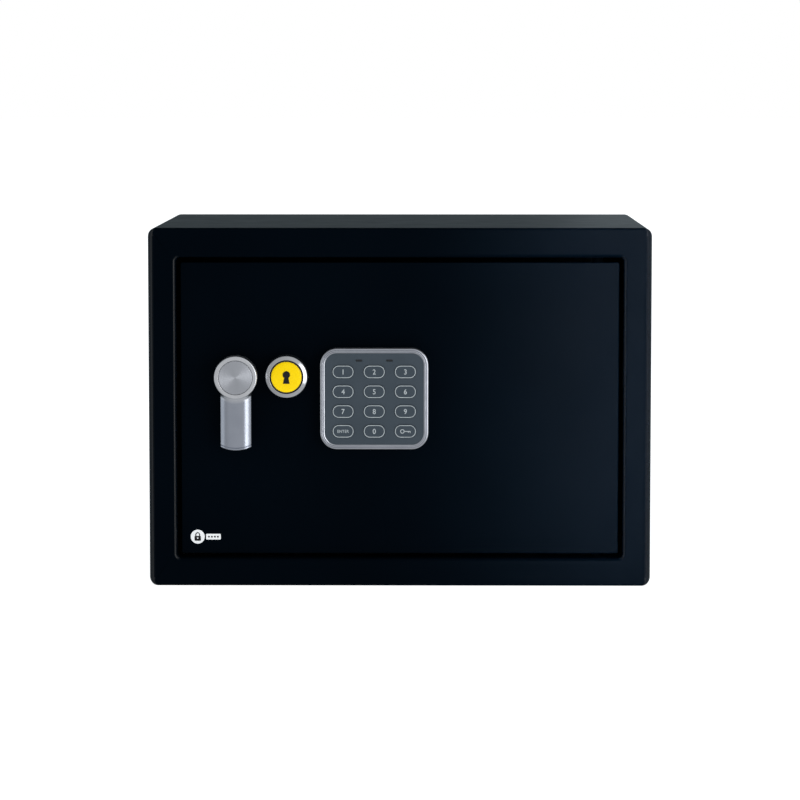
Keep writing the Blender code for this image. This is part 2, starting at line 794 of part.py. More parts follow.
def override_lock(door):
    """The ring, barrel and plug of the override lock, and the cap that hides it."""
    axis = (LOCK_X, DOOR_FACE, CONTROLS_Z)
    bore = 0.0115
    ring = [
        (bore, 0.0130),
        (0.0132, 0.0130),
        (0.0142, 0.0122),
        (0.0150, 0.0008),
        (0.0150, GAP),
        (bore, GAP),
    ]
    turned("lock_escutcheon", "satin_nickel", ring, axis, door, FACING_FRONT, ring=True, steps=48)

    back = -(LOCK_BACK - DOOR_FACE)
    barrel = [(0.0065, 0.0084), (0.0095, 0.0084), (0.0095, back), (0.0065, back)]
    turned("lock_barrel", "satin_nickel", barrel, axis, door, FACING_FRONT, ring=True)

    plug_turn = pivot("lock_plug_axis", axis, door)
    plug = [(0, 0.0080), (0.0062, 0.0080), (0.0062, back - 0.0002), (0, back - 0.0002)]
    plug = turned("lock_plug", "brass", plug, axis, plug_turn, FACING_FRONT)
    cut_box(
        plug,
        (LOCK_X - 0.0008, DOOR_FACE - 0.0090, CONTROLS_Z - 0.0040),
        (LOCK_X + 0.0008, DOOR_FACE - 0.0020, CONTROLS_Z + 0.0040),
    )
    cam_front = DOOR_FACE - back + 0.0005
    slab(
        "lock_cam",
        "zinc_steel",
        (LOCK_X - 0.004, cam_front, CONTROLS_Z - 0.0045),
        (LOCK_X + 0.004, cam_front + 0.002, CONTROLS_Z + 0.0150),
        plug_turn,
        corner=0.0039,
    )

    cap_slide = pivot("cap_axis", axis, door)
    cup = [
        (0, 0.0126),
        (0.0108, 0.0126),
        (0.0108, 0.0134),
        (0.0112, 0.0132),
        (0.0112, 0.0087),
        (0, 0.0087),
    ]
    turned("cap_cup", "black_plastic", cup, axis, cap_slide, FACING_FRONT, steps=48)
    badge = [(0, 0.0138), (0.0060, 0.0137), (0.0100, 0.0135), (0.0105, 0.0132), (0.0105, 0.0129), (0, 0.0129)]
    turned("cap_badge", "yellow_plastic", badge, axis, cap_slide, FACING_FRONT, steps=48)


# Solenoid


def solenoid(door):
    """A channel with its coil, and the sprung plunger that stops the carriage."""
    half = SOLENOID_WIDTH / 2
    front = DOOR_BACKING
    back = BOLT_Y + 0.008
    channel = slab(
        "solenoid_frame",
        "zinc_steel",
        (PLUNGER_X - half, front, SOLENOID_LOW),
        (PLUNGER_X + half, back, SOLENOID_HIGH),
        door,
    )
    cut_box(
        channel,
        (PLUNGER_X - half + SOLENOID_WALL, front - SHEET, SOLENOID_LOW + SOLENOID_WALL),
        (PLUNGER_X + half - SOLENOID_WALL, back + SHEET, SOLENOID_HIGH - SOLENOID_WALL),
    )
    drill(channel, (PLUNGER_X, BOLT_Y, SOLENOID_LOW), PLUNGER_RADIUS + GAP, 4 * SOLENOID_WALL, "Z")

    low = SOLENOID_LOW + SOLENOID_WALL + GAP
    high = SOLENOID_HIGH - SOLENOID_WALL - GAP
    flange = 0.0012
    coil = [
        (PLUNGER_RADIUS + GAP, high),
        (0.0080, high),
        (0.0080, high - flange),
        (0.0072, high - flange),
        (0.0072, low + flange),
        (0.0080, low + flange),
        (0.0080, low),
        (PLUNGER_RADIUS + GAP, low),
    ]
    place = (PLUNGER_X, BOLT_Y, 0)
    turned("solenoid_coil", "copper_winding", coil, place, door, ring=True)

    lift = pivot("plunger_axis", (PLUNGER_X, BOLT_Y, CARRIAGE_HIGH), door)
    collar = 0.0048
    collar_top = PLUNGER_COLLAR_LOW + 0.001
    tip = CARRIAGE_HIGH + 0.0004
    plunger = [
        (0, 0.1975),
        (PLUNGER_RADIUS, 0.1975),
        (PLUNGER_RADIUS, collar_top),
        (collar, collar_top),
        (collar, PLUNGER_COLLAR_LOW),
        (PLUNGER_RADIUS, PLUNGER_COLLAR_LOW),
        (PLUNGER_RADIUS, tip + 0.0005),
        (PLUNGER_RADIUS - 0.0005, tip),
        (0, tip),
    ]
    turned("solenoid_plunger", "polished_steel", plunger, place, lift)

    wire = 0.00035
    coil_radius = 0.0042
    foot = collar_top + GAP + wire
    head = SOLENOID_LOW - GAP - wire
    turns = 5
    per_turn = 12
    steps = turns * per_turn
    points = []
    for i in range(steps + 1):
        angle = 2 * pi * i / per_turn
        z = foot + (head - foot) * i / steps
        points.append((PLUNGER_X + coil_radius * cos(angle), BOLT_Y + coil_radius * sin(angle), z))
    tube("plunger_spring", "zinc_steel", points, wire, door)


# Battery box


def battery_box(door):
    """A tray for four cells, closed by a lid in the door cover's back."""
    back = COVER_BACK - SHEET - GAP
    size = Vector((TRAY_WIDTH, TRAY_DEPTH, TRAY_HEIGHT))
    bm = box_bmesh(size, 0.003)
    bmesh.ops.delete(bm, geom=[f for f in bm.faces if f.normal.y > 0.99], context="FACES_ONLY")
    bmesh.ops.recalc_face_normals(bm, faces=bm.faces)
    if max(bm.faces, key=lambda f: f.calc_area()).normal.y > 0:
        bmesh.ops.reverse_faces(bm, faces=bm.faces)
    place = (TRAY_X, back - TRAY_DEPTH / 2, TRAY_Z)
    tray = place_object("battery_tray", finish_mesh(bm, "battery_tray"), "black_plastic", place, door)
    add_modifier(tray, "SOLIDIFY", thickness=TRAY_WALL, offset=-1, use_even_offset=True)

    half = BATTERY_LENGTH / 2
    cell = [
        (0, half),
        (0.0027, half),
        (0.0027, half - 0.0012),
        (BATTERY_RADIUS - 0.0006, half - 0.0012),
        (BATTERY_RADIUS, half - 0.0018),
        (BATTERY_RADIUS, -half + 0.0004),
        (BATTERY_RADIUS - 0.0004, -half),
        (0, -half),
    ]
    cell_y = back - TRAY_DEPTH + TRAY_WALL + GAP + BATTERY_RADIUS
    for index in range(4):
        x = TRAY_X + (index - 1.5) * BATTERY_PITCH
        turned(
            f"battery_{index + 1}",
            "battery_jacket",
            cell,
            (x, cell_y, TRAY_Z),
            door,
            (0, 0 if index % 2 == 0 else pi, 0),
            steps=24,
        )

    lid = slab(
        "battery_cover",
        "black_plastic",
        (TRAY_X - TRAY_WIDTH / 2 + GAP, COVER_BACK - SHEET, TRAY_Z - TRAY_HEIGHT / 2 + GAP),
        (TRAY_X + TRAY_WIDTH / 2 - GAP, COVER_BACK, TRAY_Z + TRAY_HEIGHT / 2 - GAP),
        door,
        corner=0.003 - GAP,
    )
    for i in range(3):
        z = TRAY_Z + TRAY_HEIGHT / 2 - 0.007 - 0.003 * i
        cut_box(
            lid,
            (TRAY_X - 0.010, COVER_BACK - 0.0008, z - 0.0007),
            (TRAY_X + 0.010, COVER_BACK + 0.001, z + 0.0007),
            corner=0.0006,
        )


def reset_button(door):
    """The button inside the door that starts the setting of a new code."""
    profile = [
        (0, 0.0030),
        (0.0030, 0.0030),
        (0.0035, 0.0025),
        (0.0035, -0.0024),
        (0.0050, -0.0024),
        (0.0050, -0.0036),
        (0.0020, -0.0036),
        (0.0020, -0.0090),
        (0, -0.0090),
    ]
    turned("reset_button", "red_plastic", profile, RESET_PLACE, door, (radians(-90), 0, 0), steps=24)


# Keypad


def key_places():
    """Each key's name and its centre on the keypad, row by row from the top left."""
    for row, names in enumerate(KEY_ROWS):
        for column, name in enumerate(names):
            x = KEYPAD_X + (column - 1) * KEY_COLUMN_PITCH
            z = KEYPAD_Z - KEY_BLOCK_DROP + (1.5 - row) * KEY_ROW_PITCH
            yield name, x, z


def keypad(door):
    half_width = KEYPAD_WIDTH / 2
    half_height = KEYPAD_HEIGHT / 2
    bm = bmesh.new()
    open_tube(bm, KEYPAD_WIDTH, KEYPAD_HEIGHT, KEYPAD_FRONT, DOOR_FACE - GAP, KEYPAD_CORNER)
    bmesh.ops.recalc_face_normals(bm, faces=bm.faces)
    bezel = place_object(
        "keypad_bezel", finish_mesh(bm, "keypad_bezel"), "satin_nickel", (KEYPAD_X, 0, KEYPAD_Z), door
    )
    add_modifier(bezel, "SOLIDIFY", thickness=BEZEL_WALL, offset=-1, use_even_offset=True)
    add_modifier(
        bezel, "BEVEL", width=0.0006, segments=2, limit_method="ANGLE", angle_limit=radians(60)
    )

    inset = BEZEL_WALL + GAP
    fascia_front = KEYPAD_FRONT + GAP
    fascia = slab(
        "keypad_fascia",
        "slate_plastic",
        (KEYPAD_X - half_width + inset, fascia_front, KEYPAD_Z - half_height + inset),
        (KEYPAD_X + half_width - inset, fascia_front + FASCIA_THICKNESS, KEYPAD_Z + half_height - inset),
        door,
        corner=KEYPAD_CORNER - inset,
    )
    for name, x, z in key_places():
        cut_window(fascia, x, z, KEY_WIDTH + 2 * KEY_CLEARANCE, KEY_HEIGHT + 2 * KEY_CLEARANCE)
    for side in (-1, 1):
        x = KEYPAD_X + side * LED_X
        z = KEYPAD_Z + LED_Z
        cut_window(fascia, x, z, LED_WIDTH + 2 * GAP, LED_HEIGHT + 2 * GAP)
        slab(
            f"led_window_{'left' if side < 0 else 'right'}",
            "smoked_plastic",
            (x - LED_WIDTH / 2, fascia_front, z - LED_HEIGHT / 2),
            (x + LED_WIDTH / 2, fascia_front + FASCIA_THICKNESS, z + LED_HEIGHT / 2),
            door,
            corner=0.0004,
            corner_steps=2,
        )

    key_front = KEYPAD_FRONT - 0.0004
    for name, x, z in key_places():
        slab(
            f"key_{name}",
            "key_rubber",
            (x - KEY_WIDTH / 2, key_front, z - KEY_HEIGHT / 2),
            (x + KEY_WIDTH / 2, key_front + KEY_THICKNESS, z + KEY_HEIGHT / 2),
            door,
            corner=KEY_HEIGHT * 0.46,
            corner_steps=5,
            rim=0.0004,
        )

    margin = 0.0045
    layers = (
        ("key_mat", "key_rubber", key_front + KEY_THICKNESS + 0.0011, 0.0015),
        ("keypad_board", "circuit_board", key_front + KEY_THICKNESS + 0.0029, 0.0016),
    )
    for name, look, front, thickness in layers:
        slab(
            name,
            look,
            (KEYPAD_X - half_width + margin, front, KEYPAD_Z - half_height + margin),
            (KEYPAD_X + half_width - margin, front + thickness, KEYPAD_Z + half_height - margin),
            door,
            corner=0.0065,
        )

    route = [
        (KEYPAD_X, DOOR_FACE - 0.0035, CABLE_HOLE_Z),
        (KEYPAD_X, DOOR_REAR + 0.002, CABLE_HOLE_Z),
        (KEYPAD_X - 0.006, DOOR_REAR + 0.008, CABLE_HOLE_Z + 0.004),
        (KEYPAD_X - 0.026, DOOR_REAR + 0.011, CABLE_HOLE_Z + 0.020),
        (KEYPAD_X - 0.045, DOOR_REAR + 0.013, CABLE_HOLE_Z + 0.036),
        (PLUNGER_X + SOLENOID_WIDTH / 2 + 0.0025, BOLT_Y, SOLENOID_LOW + 0.009),
    ]
    tube("keypad_cable", "cable_jacket", smooth_route(route, 5), CABLE_RADIUS, door)


def cut_window(target, x, z, width, height):
    """A window with round ends through the fascia."""
    front = KEYPAD_FRONT - 0.001
    cut_box(
        target,
        (x - width / 2, front, z - height / 2),
        (x + width / 2, front + 0.005, z + height / 2),
        corner=height * 0.46,
    )


def build():
    cabinet_shell()
    rear_panel()
    front_frame()
    floor_mat()
    hinge_plates()
    door = pivot("door_hinge_axis", (HINGE_X, HINGE_Y, (DOOR_LOW + DOOR_HIGH) / 2))
    door_plate(door)
    hinge_brackets(door)
    bolt_guide(door)
    door_cover(door)
    cover_screws(door)
    boltwork(door)
    knob(door)
    override_lock(door)
    solenoid(door)
    battery_box(door)
    reset_button(door)
    keypad(door)


build()
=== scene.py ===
"""Looks, light and camera for the in-room safe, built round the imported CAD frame.

Metres, +Z up, front towards -Y. A piece that stands for a CAD node takes its place from the
node's box. Local shapes are drawn in XY with +Z out of the surface, and FRONTWARD or BACKWARD
stands them up.
"""

from math import cos, hypot, pi, radians, sin

import bmesh
import bpy
from mathutils import Matrix, Vector


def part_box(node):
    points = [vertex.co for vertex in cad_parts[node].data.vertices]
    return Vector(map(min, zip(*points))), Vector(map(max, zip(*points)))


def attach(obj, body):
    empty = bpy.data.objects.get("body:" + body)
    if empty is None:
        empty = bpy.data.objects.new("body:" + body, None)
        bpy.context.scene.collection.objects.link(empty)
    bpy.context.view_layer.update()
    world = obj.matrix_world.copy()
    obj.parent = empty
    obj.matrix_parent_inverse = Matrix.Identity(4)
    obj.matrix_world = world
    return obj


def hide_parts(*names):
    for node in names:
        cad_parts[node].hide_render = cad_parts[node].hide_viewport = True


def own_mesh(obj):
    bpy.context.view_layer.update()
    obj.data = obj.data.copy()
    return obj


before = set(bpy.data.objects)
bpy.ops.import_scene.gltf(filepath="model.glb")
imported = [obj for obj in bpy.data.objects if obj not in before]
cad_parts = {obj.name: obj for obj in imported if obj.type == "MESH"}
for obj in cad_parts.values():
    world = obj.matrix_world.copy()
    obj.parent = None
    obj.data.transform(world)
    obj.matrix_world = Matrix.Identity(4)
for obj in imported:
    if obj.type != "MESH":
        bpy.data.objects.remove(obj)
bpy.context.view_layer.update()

FRONTWARD = Matrix.Rotation(radians(90), 4, "X")
BACKWARD = Matrix.Rotation(radians(-90), 4, "X")
LEFTWARD = Matrix.Rotation(radians(-90), 4, "Y")
UPWARD = Matrix.Identity(4)

SHEET = 0.002  # every folded sheet's thickness
INK = 0.00006  # how far a print stands off its surface
KEY_NAMES = ("1", "2", "3", "4", "5", "6", "7", "8", "9", "enter", "0", "unlock")


def middle(node):
    low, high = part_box(node)
    return (low + high) / 2


def extent(node):
    low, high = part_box(node)
    return high - low


def back_of(node):
    """The middle of the node's rear face."""
    centre = middle(node)
    return centre.x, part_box(node)[1].y, centre.z


DOOR_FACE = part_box("door_plate")[0].y
KNOB = middle("knob_face")
LOCK = middle("lock_escutcheon")


# Material nodes


def add_node(tree, kind, inputs=None, **settings):
    """A shader node with its settings, its inputs given as values or as sockets to link."""
    made = tree.nodes.new("ShaderNode" + kind)
    for setting, value in settings.items():
        setattr(made, setting, value)
    for socket, value in (inputs or {}).items():
        if isinstance(value, bpy.types.NodeSocket):
            tree.links.new(value, made.inputs[socket])
        else:
            made.inputs[socket].default_value = value
    return made


def add_ramp(tree, factor, stops):
    """A colour ramp through (position, colour) stops."""
    made = add_node(tree, "ValToRGB", {"Fac": factor})
    elements = made.color_ramp.elements
    while len(elements) < len(stops):
        elements.new(0.5)
    for element, (position, colour) in zip(elements, stops):
        element.position = position
        element.color = (*colour, 1)
    return made.outputs["Color"]


class Look:
    """One procedural material, with short ways to add its nodes."""

    def __init__(self, name, **sockets):
        self.material = bpy.data.materials.new(name)
        self.material.use_nodes = True
        self.tree = self.material.node_tree
        self.shader = self.tree.nodes["Principled BSDF"]
        self.coords = self.node("TexCoord").outputs["Object"]
        self.normal = None
        for socket, value in sockets.items():
            self.shader.inputs[socket.replace("_", " ")].default_value = value

    def node(self, kind, inputs=None, **settings):
        return add_node(self.tree, kind, inputs, **settings)

    def noise(self, scale, detail=3.0, stretch=(1, 1, 1)):
        vector = self.coords
        if stretch != (1, 1, 1):
            vector = self.node("Mapping", {"Vector": vector, "Scale": stretch}).outputs["Vector"]
        return self.node("TexNoise", {"Vector": vector, "Scale": scale, "Detail": detail}).outputs["Fac"]

    def ramp(self, factor, stops):
        return add_ramp(self.tree, factor, stops)

    def span(self, factor, low, high, start=0.3, end=0.7):
        values = {"Value": factor, "From Min": start, "From Max": end, "To Min": low, "To Max": high}
        return self.node("MapRange", values).outputs["Result"]

    def math(self, operation, a, b=0.0):
        return self.node("Math", {0: a, 1: b}, operation=operation).outputs["Value"]

    def blend(self, factor, a, b, blend_type="MIX"):
        """Two colours mixed. Inputs 0, 6 and 7 and output 2 are the colour mix's own sockets."""
        mixed = self.node("Mix", {0: factor, 6: a, 7: b}, data_type="RGBA", blend_type=blend_type)
        return mixed.outputs[2]

    def radius_from(self, centre):
        """Distance from an axis along Y through the centre."""
        x, _, z = self.node("SeparateXYZ", {"Vector": self.coords}).outputs
        across = self.math("SUBTRACT", x, centre.x)
        up = self.math("SUBTRACT", z, centre.z)
        squares = self.math("ADD", self.math("MULTIPLY", across, across), self.math("MULTIPLY", up, up))
        return self.math("SQRT", squares)

    def give(self, socket, value):
        self.tree.links.new(value, self.shader.inputs[socket])

    def bump(self, height, depth, strength=1.0):
        inputs = {"Height": height, "Strength": strength, "Distance": depth}
        if self.normal:
            inputs["Normal"] = self.normal
        self.normal = self.node("Bump", inputs).outputs["Normal"]
        self.give("Normal", self.normal)


def surface(name, dark, light, rough, blotch=14, grain=1600, depth=0.00003, stretch=(1, 1, 1), **sockets):
    """A look with cloudy colour, a fine grain, uneven roughness and faint wear."""
    look = Look(name, **sockets)
    clouds = look.noise(blotch, 4.0)
    fine = look.noise(grain, 2.0, stretch)
    mixed = look.math("ADD", look.math("MULTIPLY", clouds, 0.6), look.math("MULTIPLY", fine, 0.4))
    look.give("Base Color", look.ramp(mixed, ((0.38, dark), (0.62, light))))
    smudges = look.noise(blotch * 6, 5.0)
    look.give("Roughness", look.span(smudges, rough[0], rough[1]))
    look.bump(fine, depth)
    return look


def powder_coat():
    look = surface(
        "black_powder_coat", (0.0001, 0.0015, 0.0034), (0.0003, 0.0021, 0.0045), (0.42, 0.46),
        blotch=9, grain=2600, depth=0.000008, Specular_IOR_Level=0.012,
    )
    look.bump(look.noise(850, 1.0), 0.000012, 0.5)
    return look


def highlight_paint(name, shine):
    """The same paint, a little lighter and shinier: a painted highlight for the frame's bends."""
    return surface(
        name, (0.0004, 0.0019, 0.0042), (0.0008, 0.0026, 0.0054), (0.24, 0.34),
        blotch=30, grain=2600, depth=0.000003, Specular_IOR_Level=shine,
    )


def felt():
    look = surface(
        "carpet", (0.030, 0.032, 0.035), (0.075, 0.078, 0.083), (0.90, 1.0),
        blotch=60, grain=2200, depth=0.0003, Sheen_Weight=0.4, Sheen_Roughness=0.6,
        Specular_IOR_Level=0.1,
    )
    look.bump(look.noise(700, 5.0, (1, 4, 1)), 0.0004, 0.8)
    return look


def spun(name, centre, rough, colour, anisotropic, groove=9000):
    """Metal turned on a lathe: fine rings about the axis, which stretch its highlights."""
    look = Look(name, Metallic=1.0, Anisotropic=anisotropic, Anisotropic_Rotation=0.25)
    radius = look.radius_from(centre)
    inputs = {"W": look.math("MULTIPLY", radius, groove), "Scale": 1.0, "Detail": 3.0}
    rings = look.node("TexNoise", inputs, noise_dimensions="1D").outputs["Fac"]
    clouds = look.noise(90, 3.0)
    mixed = look.math("ADD", look.math("MULTIPLY", rings, 0.5), look.math("MULTIPLY", clouds, 0.5))
    shade = tuple(c * 0.90 for c in colour)
    look.give("Base Color", look.ramp(mixed, ((0.38, shade), (0.62, colour))))
    look.give("Roughness", look.span(rings, rough[0], rough[1]))
    tangent = look.node("Tangent", direction_type="RADIAL", axis="Y")
    look.give("Tangent", tangent.outputs["Tangent"])
    look.bump(rings, 0.0000012)
    return look


def cast_satin():
    """The knob's casting, bead-blasted and plated. Its head is painted lighter than the lever: a painted
    highlight for the light the head catches.
    """
    look = surface(
        "satin_nickel", (0.43, 0.46, 0.53), (0.47, 0.50, 0.57), (0.28, 0.33),
        blotch=120, grain=1900, depth=0.0000002, Metallic=1.0,
    )
    plain = look.shader.inputs["Base Color"].links[0].from_socket
    # Painted highlight: a much lighter colour on the head, blended out into the lever by radius.
    painted_head_highlight = look.ramp(look.noise(150), ((0.35, (0.78, 0.79, 0.82)), (0.65, (0.84, 0.85, 0.88))))
    head = look.span(look.radius_from(KNOB), 1.0, 0.0, 0.0145, 0.0185)
    look.give("Base Color", look.blend(head, plain, painted_head_highlight))
    return look


def circuit_board():
    """Green lacquer with lighter tracks, drawn by a brick pattern that stands up with the door."""
    look = Look("circuit_board", Specular_IOR_Level=0.5)
    upright = look.node("Mapping", {"Vector": look.coords, "Rotation": (radians(90), 0, 0)})
    tracks = look.node("TexBrick", {
        "Vector": upright.outputs["Vector"], "Scale": 240.0, "Mortar Size": 0.06,
        "Color1": (0.012, 0.110, 0.045, 1), "Color2": (0.016, 0.135, 0.055, 1),
        "Mortar": (0.035, 0.200, 0.085, 1),
    })
    tint = look.ramp(look.noise(300), ((0.35, (0.80, 0.80, 0.80)), (0.65, (1.0, 1.0, 1.0))))
    look.give("Base Color", look.blend(1.0, tracks.outputs["Color"], tint, "MULTIPLY"))
    look.give("Roughness", look.span(look.noise(500), 0.35, 0.5))
    look.bump(tracks.outputs["Fac"], 0.00005)
    return look


def copper_winding():
    look = surface(
        "copper_winding", (0.42, 0.14, 0.05), (0.66, 0.27, 0.12), (0.28, 0.4),
        blotch=80, grain=4000, Metallic=1.0,
    )
    inputs = {"Vector": look.coords, "Scale": 900.0, "Distortion": 0.4}
    wire = look.node("TexWave", inputs, bands_direction="Z").outputs["Fac"]
    look.bump(wire, 0.0001)
    return look


def battery_jacket():
    """A printed jacket: a dark body with one pale band round the positive end."""
    look = Look("battery_jacket", Specular_IOR_Level=0.5, Coat_Weight=0.3, Coat_Roughness=0.2)
    height = look.node("SeparateXYZ", {"Vector": look.coords}).outputs["Z"]
    low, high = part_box("battery_1")
    along = look.span(height, 0.0, 1.0, low.z, high.z)
    ink = look.ramp(along, (
        (0.0, (0.55, 0.55, 0.56)), (0.025, (0.020, 0.045, 0.090)), (0.70, (0.024, 0.050, 0.100)),
        (0.705, (0.42, 0.42, 0.44)), (0.96, (0.50, 0.50, 0.52)),
    ))
    worn = look.ramp(look.noise(260, 5.0), ((0.30, (0.020, 0.045, 0.090)), (0.34, (0.030, 0.055, 0.11))))
    faint = look.math("MULTIPLY", look.noise(900, 4.0), 0.12)
    look.give("Base Color", look.blend(faint, ink, worn))
    look.give("Metallic", look.span(along, 0.0, 0.6, 0.70, 0.705))
    look.give("Roughness", look.span(look.noise(120, 4.0), 0.26, 0.38))
    look.bump(look.noise(700, 3.0), 0.00002)
    return look


def make_looks():
    return {
        "black_powder_coat": powder_coat(),
        # Two lighter, shinier copies of the black paint, which carry painted highlights on the frame's
        # bends.
        "highlight_paint": highlight_paint("highlight_paint", 0.08),
        "bright_highlight_paint": highlight_paint("bright_highlight_paint", 0.34),
        "carpet": felt(),
        "zinc_steel": surface(
            "zinc_steel", (0.42, 0.42, 0.40), (0.62, 0.61, 0.55), (0.28, 0.46),
            blotch=55, grain=1800, depth=0.00001, stretch=(1, 1, 6), Metallic=1.0,
        ),
        "polished_steel": surface(
            "polished_steel", (0.46, 0.46, 0.48), (0.56, 0.56, 0.58), (0.22, 0.34),
            blotch=60, grain=2400, depth=0.000005, stretch=(0.1, 6, 6), Metallic=1.0,
        ),
        "satin_nickel": cast_satin(),
        "bezel_nickel": surface(
            "bezel_nickel", (0.50, 0.52, 0.57), (0.56, 0.58, 0.63), (0.30, 0.35),
            blotch=120, grain=1900, depth=0.0000002, Metallic=1.0,
        ),
        "knob_disc": spun("knob_disc", KNOB, (0.44, 0.54), (0.67, 0.69, 0.74), 0.78),
        "lock_ring": spun("lock_ring", LOCK, (0.15, 0.22), (0.68, 0.69, 0.71), 0.3, 6000),
        "slate_plastic": surface(
            "slate_plastic", (0.036, 0.052, 0.068), (0.043, 0.060, 0.078), (0.44, 0.54),
            blotch=40, grain=3600, depth=0.00002, Specular_IOR_Level=0.3,
        ),
        "key_rubber": surface(
            "key_rubber", (0.036, 0.052, 0.068), (0.043, 0.060, 0.078), (0.56, 0.68),
            blotch=160, grain=4200, depth=0.00002, Specular_IOR_Level=0.3,
        ),
        "print": surface(
            "print", (0.38, 0.42, 0.44), (0.46, 0.50, 0.52), (0.45, 0.6),
            blotch=300, grain=5000, depth=0.00001, Specular_IOR_Level=0.3,
        ),
        "black_print": surface(
            "black_print", (0.006, 0.006, 0.007), (0.012, 0.012, 0.013), (0.4, 0.55),
            blotch=200, grain=5000, depth=0.00001, Specular_IOR_Level=0.2,
        ),
        "white_print": surface(
            "white_print", (0.88, 0.90, 0.92), (0.93, 0.95, 0.97), (0.4, 0.55),
            blotch=200, grain=5000, depth=0.00001, Specular_IOR_Level=0.3,
        ),
        "circuit_board": circuit_board(),
        "smoked_plastic": surface(
            "smoked_plastic", (0.006, 0.008, 0.011), (0.010, 0.012, 0.016), (0.10, 0.22),
            blotch=400, grain=3000, depth=0.000004,
        ),
        "black_plastic": surface(
            "black_plastic", (0.012, 0.012, 0.014), (0.022, 0.022, 0.024), (0.46, 0.60),
            blotch=25, grain=2100, depth=0.00005, Specular_IOR_Level=0.4,
        ),
        "yellow_plastic": surface(
            "yellow_plastic", (0.94, 0.64, 0.000), (0.98, 0.69, 0.001), (0.22, 0.32),
            blotch=150, grain=2000, depth=0.000004, Specular_IOR_Level=0.12,
        ),
        "red_plastic": surface(
            "red_plastic", (0.42, 0.014, 0.010), (0.60, 0.030, 0.020), (0.25, 0.40),
            blotch=300, grain=2600, depth=0.00001,
        ),
        "battery_jacket": battery_jacket(),
        "copper_winding": copper_winding(),
        "brass": surface(
            "brass", (0.48, 0.34, 0.13), (0.64, 0.47, 0.20), (0.22, 0.38),
            blotch=150, grain=2800, depth=0.00001, Metallic=1.0,
        ),
        "cable_jacket": surface(
            "cable_jacket", (0.020, 0.020, 0.022), (0.036, 0.036, 0.038), (0.5, 0.65),
            blotch=200, grain=2600, depth=0.00003,
        ),
    }


LOOKS = make_looks()


# Shapes

SHARP_ANGLE = 40  # an edge that turns by more degrees than this is shaded as a sharp one


def rounded_rect(width, height, corner, steps=8):
    """(x, y, outward x, outward y) round a rounded rectangle about the origin.

    A guard point on the straight next to each corner keeps the straight's shading flat.
    """
    points = []
    short = min(width, height)
    guard = min(0.05 * short, 0.4 * (short - 2 * corner))
    for sx, sy, start in ((1, 1, 0), (-1, 1, 90), (-1, -1, 180), (1, -1, 270)):
        for i in range(-1, steps + 2):
            angle = radians(start + 90 * min(max(i, 0), steps) / steps)
            out = (cos(angle), sin(angle))
            slide = guard if i > steps else -guard if i < 0 else 0
            x = sx * (width / 2 - corner) + corner * out[0] - slide * out[1]
            y = sy * (height / 2 - corner) + corner * out[1] + slide * out[0]
            points.append((x, y, *out))
    return points


def lofted(loops, closed=False):
    """A skin over loops of points: capped at both ends, or joined end to end."""
    bm = bmesh.new()
    rows = [[bm.verts.new(point) for point in loop] for loop in loops]
    if closed:
        rows.append(rows[0])
    for a, b in zip(rows, rows[1:]):
        for i in range(len(a)):
            j = (i + 1) % len(a)
            bm.faces.new((a[i], a[j], b[j], b[i]))
    if not closed:
        bm.faces.new(rows[0])
        bm.faces.new(rows[-1])
    bmesh.ops.recalc_face_normals(bm, faces=bm.faces)
    return bm


def swept_rect(profile, width, height, corner, steps=8, closed=False):
    """A profile of (inset, height) points swept round a rounded rectangle."""
    loops = []
    for inset, z in profile:
        path = rounded_rect(width - 2 * inset, height - 2 * inset, max(corner - inset, 0.0001), steps)
        loops.append([(x, y, z) for x, y, _, _ in path])
    return lofted(loops, closed)


def turned(profile, steps=96, closed=False):
    """A profile of (radius, height) points turned about Z."""
    ring = [(cos(2 * pi * i / steps), sin(2 * pi * i / steps)) for i in range(steps)]
    return lofted([[(r * x, r * y, z) for x, y in ring] for r, z in profile], closed)


def soft_edges(points, radius, steps=4):
    """A profile with each inner corner rounded, and a guard point on the straight to either side."""
    soft = [tuple(points[0])]
    for before, corner, after in zip(points, points[1:], points[2:]):
        corner = Vector(corner)
        runs = [Vector(other) - corner for other in (before, after)]
        start, end = (corner + run.normalized() * min(radius, run.length * 0.35) for run in runs)
        guards = [corner + run.normalized() * min(1.4 * radius, run.length * 0.45) for run in runs]
        soft.append(tuple(guards[0]))
        for i in range(steps + 1):
            t = i / steps
            soft.append(tuple(start * (1 - t) ** 2 + corner * 2 * t * (1 - t) + end * t**2))
        soft.append(tuple(guards[1]))
    return [*soft, points[-1]]


def slab(width, height, depth, corner, edge, steps=8, edge_steps=4, inset=0.004):
    """A plate from z = 0 up to its depth, or down to a negative one, with softened edges."""
    profile = soft_edges([(inset, 0), (0, 0), (0, depth), (inset, depth)], edge, edge_steps)
    return swept_rect(profile, width, height, corner, steps)


def mesh_from(bm, name):
    """The shape as mesh data. The shape itself is used up."""
    mesh = bpy.data.meshes.new(name)
    bm.to_mesh(mesh)
    bm.free()
    return mesh


def added(name, data):
    obj = bpy.data.objects.new(name, data)
    bpy.context.scene.collection.objects.link(obj)
    return obj


def cut_out(bm, *tools):
    """The shape with the tools' shapes cut from it."""
    body = added("temporary", mesh_from(bm, "temporary"))
    for tool in tools:
        modifier = body.modifiers.new("cut", "BOOLEAN")
        modifier.object = added("temporary", mesh_from(tool, "temporary"))
        modifier.solver = "EXACT"
    bpy.context.view_layer.update()
    graph = bpy.context.evaluated_depsgraph_get()
    result = bmesh.new()
    result.from_mesh(body.evaluated_get(graph).to_mesh())
    for obj in [m.object for m in body.modifiers] + [body]:
        bpy.data.objects.remove(obj, do_unlink=True)
    return result


def rod(radius, place, axis, length=0.02, steps=48):
    """A round cutting tool centred on a point."""
    tool = turned([(radius, length / 2), (radius, -length / 2)], steps)
    turn = {"X": LEFTWARD, "Y": FRONTWARD, "Z": UPWARD}[axis]
    tool.transform(Matrix.Translation(place) @ turn)
    return tool


